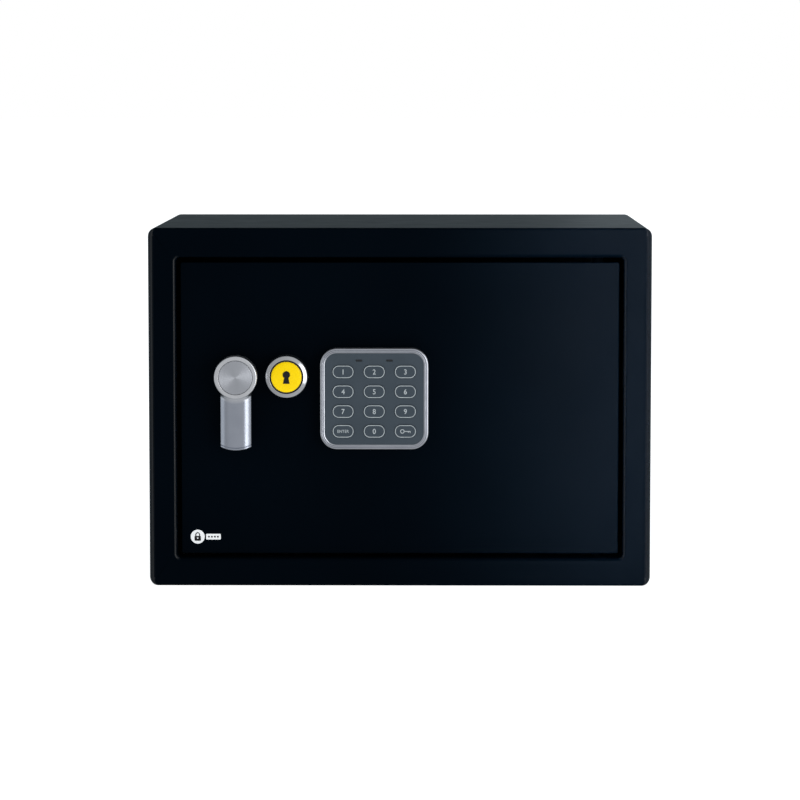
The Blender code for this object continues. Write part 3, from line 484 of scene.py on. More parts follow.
def flat_shape(outlines, thickness):
    """Flat outlines, with any outline inside another as its hole, thickened along +Z."""
    curve = bpy.data.curves.new("flat_shape", "CURVE")
    curve.dimensions = "2D"
    curve.fill_mode = "BOTH"
    curve.extrude = thickness / 2
    for outline in outlines:
        spline = curve.splines.new("POLY")
        spline.points.add(len(outline) - 1)
        for point, (x, y) in zip(spline.points, outline):
            point.co = (x, y, 0, 1)
        spline.use_cyclic_u = True
    return solid_of(curve, thickness)


def solid_of(curve, thickness):
    """The closed mesh of an extruded flat curve or text, standing on z = 0."""
    guide = added("guide", curve)
    graph = bpy.context.evaluated_depsgraph_get()
    bm = bmesh.new()
    bm.from_mesh(guide.evaluated_get(graph).to_mesh())
    bpy.data.objects.remove(guide, do_unlink=True)
    bmesh.ops.remove_doubles(bm, verts=bm.verts, dist=0.000002)
    bmesh.ops.recalc_face_normals(bm, faces=bm.faces)
    bm.transform(Matrix.Translation((0, 0, thickness / 2)))
    return bm


def text_shape(text, size, thickness, stroke=0.0, width=1.0):
    """Text in Blender's own font, centred on the origin."""
    curve = bpy.data.curves.new("text", "FONT")
    curve.body = text
    curve.size = size
    curve.extrude = thickness / 2
    curve.offset = stroke
    curve.align_x = "CENTER"
    curve.align_y = "CENTER"
    bm = solid_of(curve, thickness)
    xs = [v.co.x for v in bm.verts]
    ys = [v.co.y for v in bm.verts]
    shift = (-(min(xs) + max(xs)) / 2, -(min(ys) + max(ys)) / 2, 0)
    bm.transform(Matrix.Diagonal((width, 1, 1, 1)) @ Matrix.Translation(shift))
    return bm


def circle(radius, x=0.0, y=0.0, steps=48):
    angles = [2 * pi * i / steps for i in range(steps)]
    return [(x + radius * cos(a), y + radius * sin(a)) for a in angles]


def rect(width, height, corner, x=0.0, y=0.0, steps=5):
    return [(x + px, y + py) for px, py, _, _ in rounded_rect(width, height, corner, steps)]


def together(*parts):
    """Several shapes as one."""
    whole = bmesh.new()
    for part in parts:
        mesh = mesh_from(part, "part")
        whole.from_mesh(mesh)
        bpy.data.meshes.remove(mesh)
    return whole


def arch(width, foot, top, stroke, steps=16):
    """A padlock's shackle as one outline."""
    outer = width / 2
    inner = outer - stroke
    angles = [pi * i / steps for i in range(steps + 1)]
    over = [(outer * cos(a), top + outer * sin(a)) for a in angles]
    under = [(inner * cos(a), top + inner * sin(a)) for a in reversed(angles)]
    return [(outer, foot), *over, (-outer, foot), (-inner, foot), *under, (inner, foot)]


def piece(name, bm, look, body, stands_for=(), place=(0, 0, 0), turn=UPWARD):
    """The shape as a visible piece that rides on its body and stands for its CAD nodes."""
    bm.transform(Matrix.Translation(place) @ turn)
    mesh = mesh_from(bm, name)
    mesh.shade_smooth()
    mesh.set_sharp_from_angle(angle=radians(SHARP_ANGLE))
    mesh.materials.append(LOOKS[look].material)
    obj = added(name, mesh)
    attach(obj, body)
    if stands_for:
        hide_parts(*stands_for)
    return obj


# Cabinet

CORNER = 0.006
ANCHOR_RADIUS = 0.005
ANCHOR_REACH = 0.100


def cabinet_wrap():
    """The folded wrap, with its two anchor holes in the base."""
    low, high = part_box("cabinet_shell")
    edge = 0.0004
    section = [
        (edge, -low.y), (0, -low.y - edge), (0, -high.y + edge), (edge, -high.y),
        (SHEET - edge, -high.y), (SHEET, -high.y + edge), (SHEET, -low.y - edge), (SHEET - edge, -low.y),
    ]
    size = high - low
    bm = swept_rect(section, size.x, size.z, CORNER, 12, closed=True)
    bm.transform(Matrix.Translation((0, 0, size.z / 2)) @ FRONTWARD)
    holes = (rod(ANCHOR_RADIUS, (side * ANCHOR_REACH, 0, SHEET / 2), "Z") for side in (-1, 1))
    return piece("cabinet_wrap", cut_out(bm, *holes), "black_powder_coat", "cabinet", ["cabinet_shell"])


def back_wall():
    """The rear panel with its two anchor holes, let a little into the wrap as if welded."""
    low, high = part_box("rear_panel")
    centre = middle("rear_panel")
    size = high - low
    weld = 0.0004
    bm = slab(size.x + 2 * weld, size.z + 2 * weld, size.y, 0.0041, 0.0001)
    bm.transform(Matrix.Translation((0, low.y, centre.z)) @ BACKWARD)
    holes = (rod(ANCHOR_RADIUS, (side * ANCHOR_REACH, high.y, centre.z), "Y") for side in (-1, 1))
    return piece("back_wall", cut_out(bm, *holes), "black_powder_coat", "cabinet", ["rear_panel"])


SIDE_BEND = 0.005
TOP_BEND = 0.0015
LIP_BEND = 0.0025
OPENING = (0.311, 0.210, 0.003)  # width, height and corner
OPENING_Z = 0.1245
FLANGE_DEPTH = 0.020
FRAME_RETURN = 0.006
HIGHLIGHT_TILT = 0.12  # a bend takes the faint painted highlight where its normal leans this far sideways
BRIGHT_HIGHLIGHT_TILT = 0.30  # and the brighter painted highlight from here on


def pressed_frame():
    """One pressed sheet: wide side bends, tight top and base bends, and a flange round the door."""
    low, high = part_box("front_frame")
    size = high - low
    steps = 10
    bend_steps = 8
    outside = rounded_rect(size.x, size.z, CORNER, steps)
    opening = rounded_rect(*OPENING, steps)
    outside = [(x, z + size.z / 2, nx, nz) for x, z, nx, nz in outside]
    opening = [(x, z + OPENING_Z, nx, nz) for x, z, nx, nz in opening]

    def loop(path, inset, back):
        """The path moved in by inset and back from the face, each a length or a rule of the normal."""
        points = []
        for x, z, nx, nz in path:
            i = inset(nx) if callable(inset) else inset
            y = back(nx) if callable(back) else back
            points.append((x - nx * i, low.y + y, z - nz * i))
        return points

    def bend(nx):
        return TOP_BEND + (SIDE_BEND - TOP_BEND) * nx * nx

    def bend_loop(a):
        return loop(outside, lambda nx: bend(nx) * (1 - sin(a)), lambda nx: bend(nx) * (1 - cos(a)))

    loops = [loop(outside, 0, FRAME_RETURN)]
    loops += [bend_loop(pi / 2 * (1 - i / bend_steps)) for i in range(bend_steps + 1)]
    guard = 0.0008
    loops.append(loop(outside, lambda nx: bend(nx) + guard, 0))
    loops.append(loop(opening, -LIP_BEND - guard, 0))
    for i in range(bend_steps + 1):
        a = pi / 2 * i / bend_steps
        loops.append(loop(opening, -LIP_BEND * (1 - sin(a)), LIP_BEND * (1 - cos(a))))
    tight = SHEET + 0.0005
    loops += [
        loop(opening, 0, LIP_BEND + guard),
        loop(opening, 0, FLANGE_DEPTH - 0.0003),
        loop(opening, -0.0003, FLANGE_DEPTH),
        loop(opening, -SHEET, FLANGE_DEPTH),
        loop(opening, -SHEET, tight),
        loop(opening, -tight, SHEET),
        loop(outside, lambda nx: max(bend(nx), tight), SHEET),
        loop(outside, SHEET, lambda nx: max(bend(nx), tight)),
        loop(outside, SHEET, FRAME_RETURN),
    ]
    pin = middle("hinge_pin_upper")
    pin_clearance = rod(0.0043, (pin.x, pin.y, size.z / 2), "Z", 0.93 * size.z)
    bm = cut_out(lofted(loops, closed=True), pin_clearance)
    panel = piece("pressed_frame", bm, "black_powder_coat", "cabinet", ["front_frame"])
    # Painted highlights: the bends that face sideways get lighter, shinier copies of the paint.
    for look in ("highlight_paint", "bright_highlight_paint"):
        panel.data.materials.append(LOOKS[look].material)
    for face in panel.data.polygons:
        on_lip = abs(face.center.x) < OPENING[0] / 2 + LIP_BEND
        on_bend = face.center.y < low.y + (LIP_BEND if on_lip else SIDE_BEND)
        tilt = abs(face.normal.x)
        if on_bend and tilt > HIGHLIGHT_TILT:
            face.material_index = 2 if tilt > BRIGHT_HIGHLIGHT_TILT else 1
    return panel


def felt_mat():
    low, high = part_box("floor_mat")
    size = high - low
    bm = slab(size.x, size.y, size.z, 0.005, 0.0012, inset=0.006)
    place = (0, (low.y + high.y) / 2, low.z)
    mat = piece("felt_mat", bm, "carpet", "cabinet", ["floor_mat"], place)


# Door


def door_panel():
    """The door's plate, with holes for the knob's spindle, the lock and the keypad's cable."""
    size = extent("door_plate")
    bm = slab(size.x, size.z, -size.y, 0.0015, 0.0007, 6, 5)
    bm.transform(Matrix.Translation((0, DOOR_FACE, middle("door_plate").z)) @ FRONTWARD)
    spindle = (KNOB.x, KNOB.z, 0.0063)
    lock = (LOCK.x, LOCK.z, 0.010)
    cable = (middle("keypad_board").x, 0.150, 0.004)
    holes = (rod(radius, (x, DOOR_FACE, z), "Y") for x, z, radius in (spindle, lock, cable))
    return piece("door_panel", cut_out(bm, *holes), "black_powder_coat", "door", ["door_plate"])


def door_prints():
    """Generic marks low on the door: a padlock on a disc, and a tag with four dots."""
    disc_x, tag_x, height = -0.1414, -0.1304, 0.0338
    disc = flat_shape([circle(0.0049, steps=64)], INK)
    padlock = together(
        flat_shape([rect(0.0044, 0.0034, 0.0005, 0, -0.0012), circle(0.0005, 0, -0.0010, 16)], INK),
        flat_shape([arch(0.0034, 0.0004, 0.0014, 0.0007)], INK),
    )
    tag = flat_shape([rect(0.0103, 0.0040, 0.0006)], INK)
    dot_pitch = 0.0021
    dots = together(*(flat_shape([circle(0.00065, (i - 1.5) * dot_pitch, 0, 20)], INK) for i in range(4)))
    marks = (
        ("print_disc", disc, "white_print", disc_x, 0),
        ("print_padlock", padlock, "black_print", disc_x, 1),
        ("print_tag", tag, "white_print", tag_x, 0),
        ("print_dots", dots, "black_print", tag_x, 1),
    )
    for name, shape, look, x, layer in marks:
        piece(name, shape, look, "door", (), (x, DOOR_FACE - layer * INK, height), FRONTWARD)


# Knob

KNOB_RADIUS = 0.015
KNOB_PROUD = 0.020
STEM_RADIUS = 0.008
INLAY = 0.01195
INLAY_DEPTH = 0.0012
LEVER_HALF = 0.0105
LEVER_START = 0.006
LEVER_REACH = 0.0508
LEVER_SAG = 0.0021
LEVER_TOP = 0.0175
LEVER_BACK = 0.0075
CROWN = 0.0003
SHOULDER_START = 0.45  # share of the half width
SHOULDER_DROP = 0.0020
END_ROUND = 0.0005
GROOVE_PLACE = 0.0016
GROOVE_HALF = 0.00035
GROOVE_DEPTH = 0.0004
FILLET_RADIUS = 0.0168
FILLET_RUN = 0.0030
FILLET_TOP = KNOB_PROUD - 0.0014


def lever_height(x, y):
    """How far the lever's front stands out of the door, with its fillet up to the head."""
    across = abs(x) / LEVER_HALF
    beyond = y - lever_end(x)
    height = LEVER_TOP - CROWN * across**2
    height -= SHOULDER_DROP * (max(0.0, across - SHOULDER_START) / (1 - SHOULDER_START)) ** 2
    height -= END_ROUND * max(0.0, 1 - beyond / END_ROUND) ** 2
    height -= GROOVE_DEPTH * max(0.0, 1 - abs(beyond - GROOVE_PLACE) / GROOVE_HALF)
    rise = min(max((FILLET_RADIUS - hypot(x, y)) / FILLET_RUN, 0.0), 1.0)
    return height + (FILLET_TOP - height) * rise * rise * (3 - 2 * rise)


def lever_end(x):
    """How far down the lever's end lies, in its shallow arc."""
    return -LEVER_REACH + LEVER_SAG * (x / LEVER_HALF) ** 2


def lever_bar():
    """The lever as a crowned skin over its outline, closed by straight sides and a flat back.

    The skin's rows crowd towards the lever's end, and its columns towards its two sides.
    """
    bm = bmesh.new()
    columns = 56
    rows = 120
    crowding = 2.2
    grid = []
    for j in range(rows + 1):
        share = 1 - (1 - j / rows) ** crowding
        row = []
        for i in range(columns + 1):
            x = LEVER_HALF * sin(pi / 2 * (2 * i / columns - 1))
            y = -LEVER_START + (lever_end(x) + LEVER_START) * share
            row.append(bm.verts.new((x, y, lever_height(x, y))))
        grid.append(row)
    for a, b in zip(grid, grid[1:]):
        for i in range(columns):
            bm.faces.new((a[i], a[i + 1], b[i + 1], b[i]))
    rim = [e for e in bm.edges if e.is_boundary]
    wall = bmesh.ops.extrude_edge_only(bm, edges=rim)["geom"]
    foot = [v for v in wall if isinstance(v, bmesh.types.BMVert)]
    for vert in foot:
        vert.co.z = LEVER_BACK
    bmesh.ops.contextual_create(bm, geom=[e for e in wall if isinstance(e, bmesh.types.BMEdge)])
    bmesh.ops.recalc_face_normals(bm, faces=bm.faces)
    return bm


def knob():
    """The head, the lever that runs out of it, and the spun disc let into the head."""
    place = (KNOB.x, DOOR_FACE, KNOB.z)
    core = 0.002
    floor = KNOB_PROUD - INLAY_DEPTH
    head = [
        (core, floor), (INLAY, floor), (INLAY, KNOB_PROUD), (KNOB_RADIUS, KNOB_PROUD),
        (KNOB_RADIUS, LEVER_BACK), (STEM_RADIUS, LEVER_BACK), (STEM_RADIUS, 0.0004), (core, 0.0004),
    ]
    inlay_edge = soft_edges(head[:4], 0.00025, 3)[:-1]
    rim = soft_edges(head[2:6], 0.0014, 8)[1:-1]
    shape = together(turned([*inlay_edge, *rim, *head[5:]], 128), lever_bar())
    piece("knob_casting", shape, "satin_nickel", "knob", ["knob_handle"], place, FRONTWARD)

    edge = INLAY - 0.0004
    profile = [
        (edge, floor + 0.0003), (edge, KNOB_PROUD - 0.0001), (0.004, KNOB_PROUD), (0.0004, KNOB_PROUD),
    ]
    shape = turned(soft_edges(profile, 0.0003, 4), 128)
    piece("knob_disc", shape, "knob_disc", "knob", ["knob_face"], place, FRONTWARD)


# Override lock

BADGE_RIM = 0.0102
BADGE_TOP = 0.01365


def lock_and_cap():
    """The ring round the lock, and the cap in it: a dark cup, a domed disc and a keyhole mark."""
    place = (LOCK.x, DOOR_FACE, LOCK.z)
    ring = [
        (0.0115, 0.0003), (0.0115, 0.0133), (0.0118, 0.0137), (0.0122, 0.0136), (0.0143, 0.0128),
        (0.0149, 0.0118), (0.0150, 0.0095), (0.0150, 0.0003),
    ]
    shape = turned(soft_edges(ring, 0.0004, 4), 128, closed=True)
    piece("lock_ring", shape, "lock_ring", "door", ["lock_escutcheon"], place, FRONTWARD)

    cup = [
        (0.002, 0.0128), (0.0107, 0.0128), (0.0107, 0.0136), (0.0112, 0.0136), (0.0112, 0.0087),
        (0.002, 0.0087),
    ]
    piece("cap_cup_shell", turned(cup, 128), "black_plastic", "cap", ["cap_cup"], place, FRONTWARD)

    dome = 0.0004
    badge = [(0.0106, 0.0129), (0.0106, 0.0134), (BADGE_RIM, BADGE_TOP)]
    for radius in (0.0085, 0.0065, 0.0045, 0.0025, 0.0008):
        badge.append((radius, BADGE_TOP + dome * (1 - (radius / BADGE_RIM) ** 2)))
    piece("cap_disc", turned(badge, 128), "yellow_plastic", "cap", ["cap_badge"], place, FRONTWARD)

    lobe_radius = 0.0026
    lobe_y = 0.0016
    angles = [radians(-55 + 290 * i / 40) for i in range(41)]
    lobe = [(lobe_radius * cos(a), lobe_y + lobe_radius * sin(a)) for a in angles]
    keyhole = flat_shape([[*lobe, (-0.0023, -0.0046), (0.0023, -0.0046)]], 0.0005)
    place = (LOCK.x, DOOR_FACE - BADGE_TOP, LOCK.z)
    piece("cap_keyhole", keyhole, "black_print", "cap", (), place, FRONTWARD)


# Keypad

BEZEL_WALL = 0.0032
ROUNDNESS = 0.48


def keypad_bezel():
    """The plated frame, with the fine groove that runs round its face."""
    size = extent("keypad_bezel")
    face = size.y
    groove = face - 0.0006
    profile = [
        (0, 0), (0, face - 0.0004), (0.0009, face), (0.0010, face), (0.0014, groove), (0.0021, groove),
        (0.0024, face), (0.0025, face), (BEZEL_WALL, face - 0.0003), (BEZEL_WALL, 0),
    ]
    bm = swept_rect(soft_edges(profile, 0.0002, 3), size.x, size.z, 0.0115, 14, closed=True)
    place = back_of("keypad_bezel")
    piece("bezel_frame", bm, "bezel_nickel", "door", ["keypad_bezel"], place, FRONTWARD)


def obround(size, clearance=0.0):
    """Width, height and corner of a key or window seen from the front, its ends nearly round."""
    height = size.z + 2 * clearance
    return size.x + 2 * clearance, height, ROUNDNESS * height


def keypad_fascia():
    """The slate panel, spread to the bezel's inner wall, with a hole for each key and window."""
    size = extent("keypad_fascia")
    centre = middle("keypad_fascia")
    spread = 2 * 0.00028
    bm = slab(size.x + spread, size.z + spread, size.y, 0.008, 0.0001, 14)
    holes = []
    for node in [f"key_{name}" for name in KEY_NAMES] + ["led_window_left", "led_window_right"]:
        hole = swept_rect([(0, -0.001), (0, 0.004)], *obround(extent(node), 0.00012), 12)
        spot = middle(node) - centre
        hole.transform(Matrix.Translation((spot.x, spot.z, 0)))
        holes.append(hole)
    shape = cut_out(bm, *holes)
    place = back_of("keypad_fascia")
    piece("fascia_panel", shape, "slate_plastic", "door", ["keypad_fascia"], place, FRONTWARD)


def led_windows():
    for side in ("left", "right"):
        node = f"led_window_{side}"
        size = extent(node)
        width, height, corner = obround(size)
        bm = slab(width, height, size.y - 0.0001, corner, 0.0001, 6, 2, inset=0.0005)
        piece(f"led_lens_{side}", bm, "smoked_plastic", "door", [node], back_of(node), FRONTWARD)


def key_pictogram():
    """A small key lying on its side: a ring, a stem and two teeth."""
    bow_x = -0.0021
    half = 0.00027
    bow = flat_shape([circle(0.00150, bow_x, 0, 32), circle(0.00098, bow_x, 0, 32)], INK)
    stem = [
        (-0.0007, half), (0.0036, half), (0.0036, -0.0011), (0.0031, -0.0011), (0.0031, -half),
        (0.0024, -half), (0.0024, -0.0009), (0.0019, -0.0009), (0.0019, -half), (-0.0007, -half),
    ]
    return together(bow, flat_shape([stem], INK))


def key_legend(name):
    if name == "unlock":
        return key_pictogram()
    if name == "enter":
        return text_shape("ENTER", 0.0029, INK, 0.00002, 0.94)
    return text_shape(name, 0.0050, INK, 0.00006, 0.92)


def keypad_keys():
    """Twelve keys, each with its printed outline and legend riding on it."""
    for name in KEY_NAMES:
        node = f"key_{name}"
        size = extent(node)
        top = size.y
        place = back_of(node)
        profile = [
            (0, 0), (0, top - 0.0005), (0.0001, top - 0.0002), (0.0003, top - 0.00005), (0.0006, top),
            (0.001, top),
        ]
        shape = swept_rect(profile, *obround(size), 14)
        piece(f"cap_of_{node}", shape, "key_rubber", node, [node], place, FRONTWARD)

        line = [
            (0.00030, top - 0.0002), (0.00034, top + 0.00003), (0.00078, top + INK),
            (0.00082, top - 0.0001),
        ]
        outline = swept_rect(line, *obround(size), 14, closed=True)
        legend = key_legend(name)
        legend.transform(Matrix.Translation((0, 0, top)))
        piece(f"print_of_{node}", together(outline, legend), "print", node, (), place, FRONTWARD)


# Behind the door


LID_CORNER = 0.0027


def lockwork_cover():
    """The moulded cover over the lockwork, with its bolt, battery, button and screw holes."""
    low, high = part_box("door_cover")
    size = high - low
    centre = middle("door_cover")

    def on_back(node):
        spot = middle(node)
        return spot.x, high.y, spot.z

    depth = size.y
    groove = depth - 0.0005
    profile = soft_edges([
        (0, 0), (0, depth), (0.0045, depth), (0.0049, groove), (0.0055, groove), (0.0059, depth),
        (0.012, depth),
    ], 0.003, 6)
    shell = swept_rect(profile, size.x, size.z, 0.003, 8)
    inside = swept_rect([(SHEET, -0.001), (SHEET, depth - SHEET)], size.x, size.z, 0.003, 6)
    lid = extent("battery_cover")
    window = swept_rect([(-0.0003, -2 * SHEET), (-0.0003, SHEET)], lid.x, lid.z, LID_CORNER, 6)
    shell_place = (centre.x, low.y, centre.z)
    for shape, place in ((shell, shell_place), (inside, shell_place), (window, on_back("battery_cover"))):
        shape.transform(Matrix.Translation(place) @ BACKWARD)
    tools = [inside, window, rod(0.0039, on_back("reset_button"), "Y")]
    for index in range(1, 5):
        tools.append(rod(0.0018, on_back(f"cover_screw_{index}"), "Y"))
    for side in ("upper", "lower"):
        bolt = middle(f"bolt_{side}")
        tools.append(rod(extent(f"bolt_{side}").z / 2 + 0.0006, (low.x, bolt.y, bolt.z), "X"))
    piece("lockwork_cover", cut_out(shell, *tools), "black_plastic", "door", ["door_cover"])


def battery_lid():
    """The lid over the cells, with shortening grooves for a thumb near its top."""
    low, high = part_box("battery_cover")
    size = high - low
    centre = middle("battery_cover")
    lid = slab(size.x, size.z, size.y, LID_CORNER, 0.0004, 6)
    lid.transform(Matrix.Translation((centre.x, low.y, centre.z)) @ BACKWARD)
    pitch = 0.003
    grooves = []
    for index in range(5):
        groove = swept_rect([(0, -0.0007), (0, 0.001)], 0.024 - pitch * index, 0.0014, 0.0006, 4)
        place = (centre.x, high.y, high.z - 0.006 - pitch * index)
        groove.transform(Matrix.Translation(place) @ BACKWARD)
        grooves.append(groove)
    piece("battery_lid", cut_out(lid, *grooves), "black_plastic", "battery_cover", ["battery_cover"])


def return_spring():
    """The solenoid plunger's coil spring, drawn at one length; it does not shorten as the plunger lifts.

    Its turns lie closer together towards both ends, by the crowding's share of their pitch.
    """
    low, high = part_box("plunger_spring")
    centre = middle("plunger_spring")
    wire = 0.00035
    length = high.z - low.z - 2 * wire
    radius = (high.x - low.x) / 2 - wire
    turns, per_turn, sides = 6, 24, 8
    crowding = 0.8
    loops = []
    for i in range(turns * per_turn + 1):
        t = i / (turns * per_turn)
        a = 2 * pi * turns * t
        z = low.z + wire + length * (t - crowding * sin(2 * pi * t) / (2 * pi))
        ring = circle(wire, radius, steps=sides)
        loops.append([(centre.x + r * cos(a), centre.y + r * sin(a), z + lift) for r, lift in ring])
    spring = piece("return_spring", lofted(loops), "zinc_steel", "door", ["plunger_spring"])
    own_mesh(spring)


def bolts():
    for side in ("upper", "lower"):
        node = f"bolt_{side}"
        size = extent(node)
        centre = middle(node)
        length = size.x
        radius = size.z / 2
        chamfer = 0.0012
        core = 0.001
        profile = soft_edges([
            (core, length), (radius - chamfer, length), (radius, length - chamfer), (radius, 0), (core, 0),
        ], 0.0004, 4)
        place = (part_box(node)[1].x, centre.y, centre.z)
        shape = turned(profile, 64)
        piece(f"round_bolt_{side}", shape, "polished_steel", "boltwork", [node], place, LEFTWARD)


def cells():
    """Four cells, each with its jacket, bare ends and raised contact."""
    for index in range(1, 5):
        node = f"battery_{index}"
        low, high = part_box(node)
        centre = middle(node)
        length = high.z - low.z
        radius = (high.x - low.x) / 2
        shoulder = length - 0.0013
        profile = soft_edges([
            (0.0005, length), (0.0026, length), (0.0026, shoulder), (radius, shoulder), (radius, 0),
            (0.0040, 0), (0.0040, 0.0003), (0.0005, 0.0003),
        ], 0.0003, 3)
        upright = index % 2 == 1
        turn = UPWARD if upright else Matrix.Rotation(pi, 4, "X")
        place = (centre.x, centre.y, low.z if upright else high.z)
        piece(f"cell_{index}", turned(profile, 64), "battery_jacket", "door", [node], place, turn)


def red_button():
    """The reset button: a domed head, a collar that holds it in, and a stem."""
    centre = middle("reset_button")
    head = 0.0030
    profile = soft_edges([
        (0.0004, 0.0026), (0.0022, 0.0028), (0.0030, head), (0.0035, 0.0025), (0.0035, -0.0024),
        (0.0050, -0.0024), (0.0050, -0.0036), (0.0020, -0.0036), (0.0020, -0.0090), (0.0004, -0.0090),
    ], 0.0003, 3)
    place = (centre.x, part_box("reset_button")[1].y - head, centre.z)
    shape = turned(profile, 64)
    piece("red_button", shape, "red_plastic", "reset_button", ["reset_button"], place, BACKWARD)


def screws():
    """Pan-head cross-recess screws in the cover's corners."""
    for index in range(1, 5):
        node = f"cover_screw_{index}"
        centre = middle(node)
        head = 0.0019
        profile = soft_edges([
            (0.0003, head), (0.0012, 0.00185), (0.0020, 0.0017), (0.0027, 0.0013), (0.0031, 0.0009),
            (0.0032, 0.0003), (0.0015, 0.0003), (0.0015, -0.0076), (0.0004, -0.0082),
        ], 0.0002, 3)
        arms = ((0.0008, 0.0036), (0.0036, 0.0008))
        recess = (swept_rect([(0, 0.0008), (0, 0.003)], *arm, 0.0002, 3) for arm in arms)
        shape = cut_out(turned(profile, 48), *recess)
        place = (centre.x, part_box(node)[1].y - head, centre.z)
        piece(f"cross_screw_{index}", shape, "zinc_steel", "door", [node], place, BACKWARD)


# CAD nodes that show as they are

CARRIED = {
    "black_powder_coat": (
        "hinge_bracket_upper", "hinge_bracket_lower", "hinge_pin_upper", "hinge_pin_lower",
    ),
    "zinc_steel": (
        "hinge_plate_upper", "hinge_plate_lower", "bolt_guide", "bolt_carriage", "knob_spindle", "lock_cam",
        "solenoid_frame",
    ),
    "polished_steel": ("solenoid_plunger",),
    "satin_nickel": ("lock_barrel",),
    "black_plastic": ("battery_tray",),
    "key_rubber": ("key_mat",),
    "circuit_board": ("keypad_board",),
    "copper_winding": ("solenoid_coil",),
    "brass": ("lock_plug",),
    "cable_jacket": ("keypad_cable",),
}


def dress_carried_nodes():
    for look, nodes in CARRIED.items():
        for node in nodes:
            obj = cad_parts[node]
            obj.data.materials.clear()
            obj.data.materials.append(LOOKS[look].material)


# Studio

SAFE_MIDDLE = (0, 0, 0.125)
PALE_BLUE = (0.82, 0.93, 1.0)
CAMERA_PLACE = (0.0217, -2.529, 0.351)
CAMERA_TARGET = (0.0002, -0.125, 0.1304)
CAMERA_LENS = 156.2


def studio_floor():
    bm = bmesh.new()
    bmesh.ops.create_circle(bm, cap_ends=True, segments=96, radius=30)
    floor = added("studio_floor", mesh_from(bm, "studio_floor"))
    look = Look("pale_floor", Specular_IOR_Level=0.0, Emission_Color=(1, 1, 1, 1), Emission_Strength=0.90)
    shades = ((0.3, (0.80, 0.80, 0.80)), (0.7, (0.84, 0.84, 0.84)))
    look.give("Base Color", look.ramp(look.noise(0.8), shades))
    floor.data.materials.append(look.material)
    floor.visible_glossy = False


def aim(obj, place, target):
    obj.location = place
    direction = Vector(target) - Vector(place)
    obj.rotation_euler = direction.to_track_quat("-Z", "Y").to_euler()


def softbox(name, place, target, width, height, power, colour=(1, 1, 1), only=()):
    """A soft area lamp. Given the pieces in only, it lights nothing else."""
    light = bpy.data.lights.new(name, "AREA")
    light.shape = "RECTANGLE"
    light.size = width
    light.size_y = height
    light.energy = power
    light.color = colour
    lamp = added(name, light)
    aim(lamp, place, target)
    lamp.visible_camera = False
    if only:
        receivers = bpy.data.collections.new(f"{name}_receivers")
        for obj in only:
            receivers.objects.link(obj)
        lamp.light_linking.receiver_collection = receivers
    return lamp


def studio_lights(cabinet, back_panel, front):
    """Soft light from both sides, and five lamps that only the black paint needs.

    Two of the five shape the front and the top. The others reach only the cabinet's wrap or its
    back panel, which would otherwise look flat black from the sides and from behind.
    """
    softbox("right_softbox", (0.58, -0.98, 0.20), (-0.12, -0.125, 0.13), 0.55, 0.75, 2.9)
    softbox("left_softbox", (-1.10, -0.60, 0.25), SAFE_MIDDLE, 0.6, 0.9, 0.9, (0.93, 0.98, 1.0))
    painted = [cabinet, back_panel, *front]
    front_edge = softbox(
        "paint_side_lamp", (0.19, -0.60, 0.19), (0.168, -0.135, 0.18), 0.06, 0.5, 0.50,
        (0.72, 0.83, 1.0), painted,
    )
    front_edge.data.spread = radians(36)
    softbox(
        "paint_rear_lamp", (0.50, 1.10, 0.50), (0.14, 0.0, 0.25), 0.7, 0.5, 0.7,
        (0.80, 0.92, 1.0), painted,
    )
    for side, x in (("left", -1.5), ("right", 1.5)):
        place = (x, 0.42, 0.20)
        softbox(f"paint_{side}_lamp", place, SAFE_MIDDLE, 1.0, 0.7, 38, PALE_BLUE, [cabinet])
    softbox("paint_back_lamp", (-0.4, 1.5, 0.12), SAFE_MIDDLE, 1.0, 0.2, 60, PALE_BLUE, [back_panel])


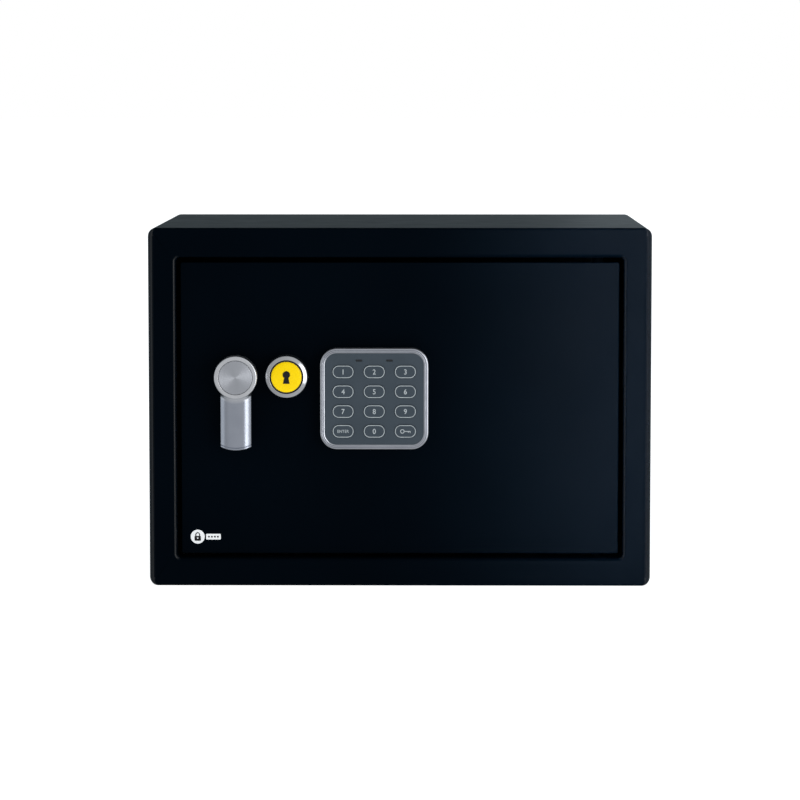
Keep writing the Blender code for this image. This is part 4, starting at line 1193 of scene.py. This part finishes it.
def studio_world():
    """White to the camera; to the object, a room lit mostly from in front and close behind."""
    world = bpy.data.worlds.new("studio_world")
    bpy.context.scene.world = world
    world.use_nodes = True
    tree = world.node_tree
    tree.nodes.clear()

    def levels(direction, stops):
        """Brightness, or a colour, by how far the ray points along one direction, from -1 to 1."""
        share = add_node(tree, "MapRange", {"Value": direction, "From Min": -1.0}).outputs["Result"]
        shares = []
        for position, level in stops:
            colour = level if isinstance(level, tuple) else (level, level, level)
            shares.append(((position + 1) / 2, colour))
        return add_ramp(tree, share, shares)

    def times(a, b):
        return add_node(tree, "Math", {0: a, 1: b}, operation="MULTIPLY").outputs["Value"]

    ray = add_node(tree, "TexCoord").outputs["Generated"]
    x, y, z = add_node(tree, "SeparateXYZ", {"Vector": ray}).outputs
    along_y = levels(y, ((-1, 0.66), (-0.3, 0.52), (0.3, 0.44), (0.85, 0.46), (1, 0.76)))
    along_x = levels(x, ((-1, 0.62), (1, 1.0)))
    along_z = levels(z, ((-1, 1.2), (-0.6, 1.0), (0.2, 1.0), (0.8, 1.05)))
    strength = times(times(along_y, along_x), along_z)
    tint = levels(y, ((-0.4, (0.96, 0.98, 1.0)), (0.6, (0.76, 0.92, 1.0))))
    room = add_node(tree, "Background", {"Color": tint, "Strength": strength}).outputs["Background"]
    white = add_node(tree, "Background", {"Color": (1, 1, 1, 1)}).outputs["Background"]
    seen = add_node(tree, "LightPath").outputs["Is Camera Ray"]
    mix = add_node(tree, "MixShader", {0: seen, 1: room, 2: white})
    add_node(tree, "OutputWorld", {"Surface": mix.outputs["Shader"]})


def camera():
    data = bpy.data.cameras.new("camera")
    data.lens = CAMERA_LENS
    data.clip_end = 100
    obj = added("camera", data)
    aim(obj, CAMERA_PLACE, CAMERA_TARGET)
    bpy.context.scene.camera = obj


cabinet = cabinet_wrap()
front = [pressed_frame(), door_panel()]
back_panel = back_wall()
felt_mat()
door_prints()
knob()
lock_and_cap()
keypad_bezel()
keypad_fascia()
led_windows()
keypad_keys()
lockwork_cover()
battery_lid()
return_spring()
bolts()
cells()
red_button()
screws()
dress_carried_nodes()
studio_floor()
studio_lights(cabinet, back_panel, front)
studio_world()
camera()
bpy.context.scene.view_settings.view_transform = "Standard"
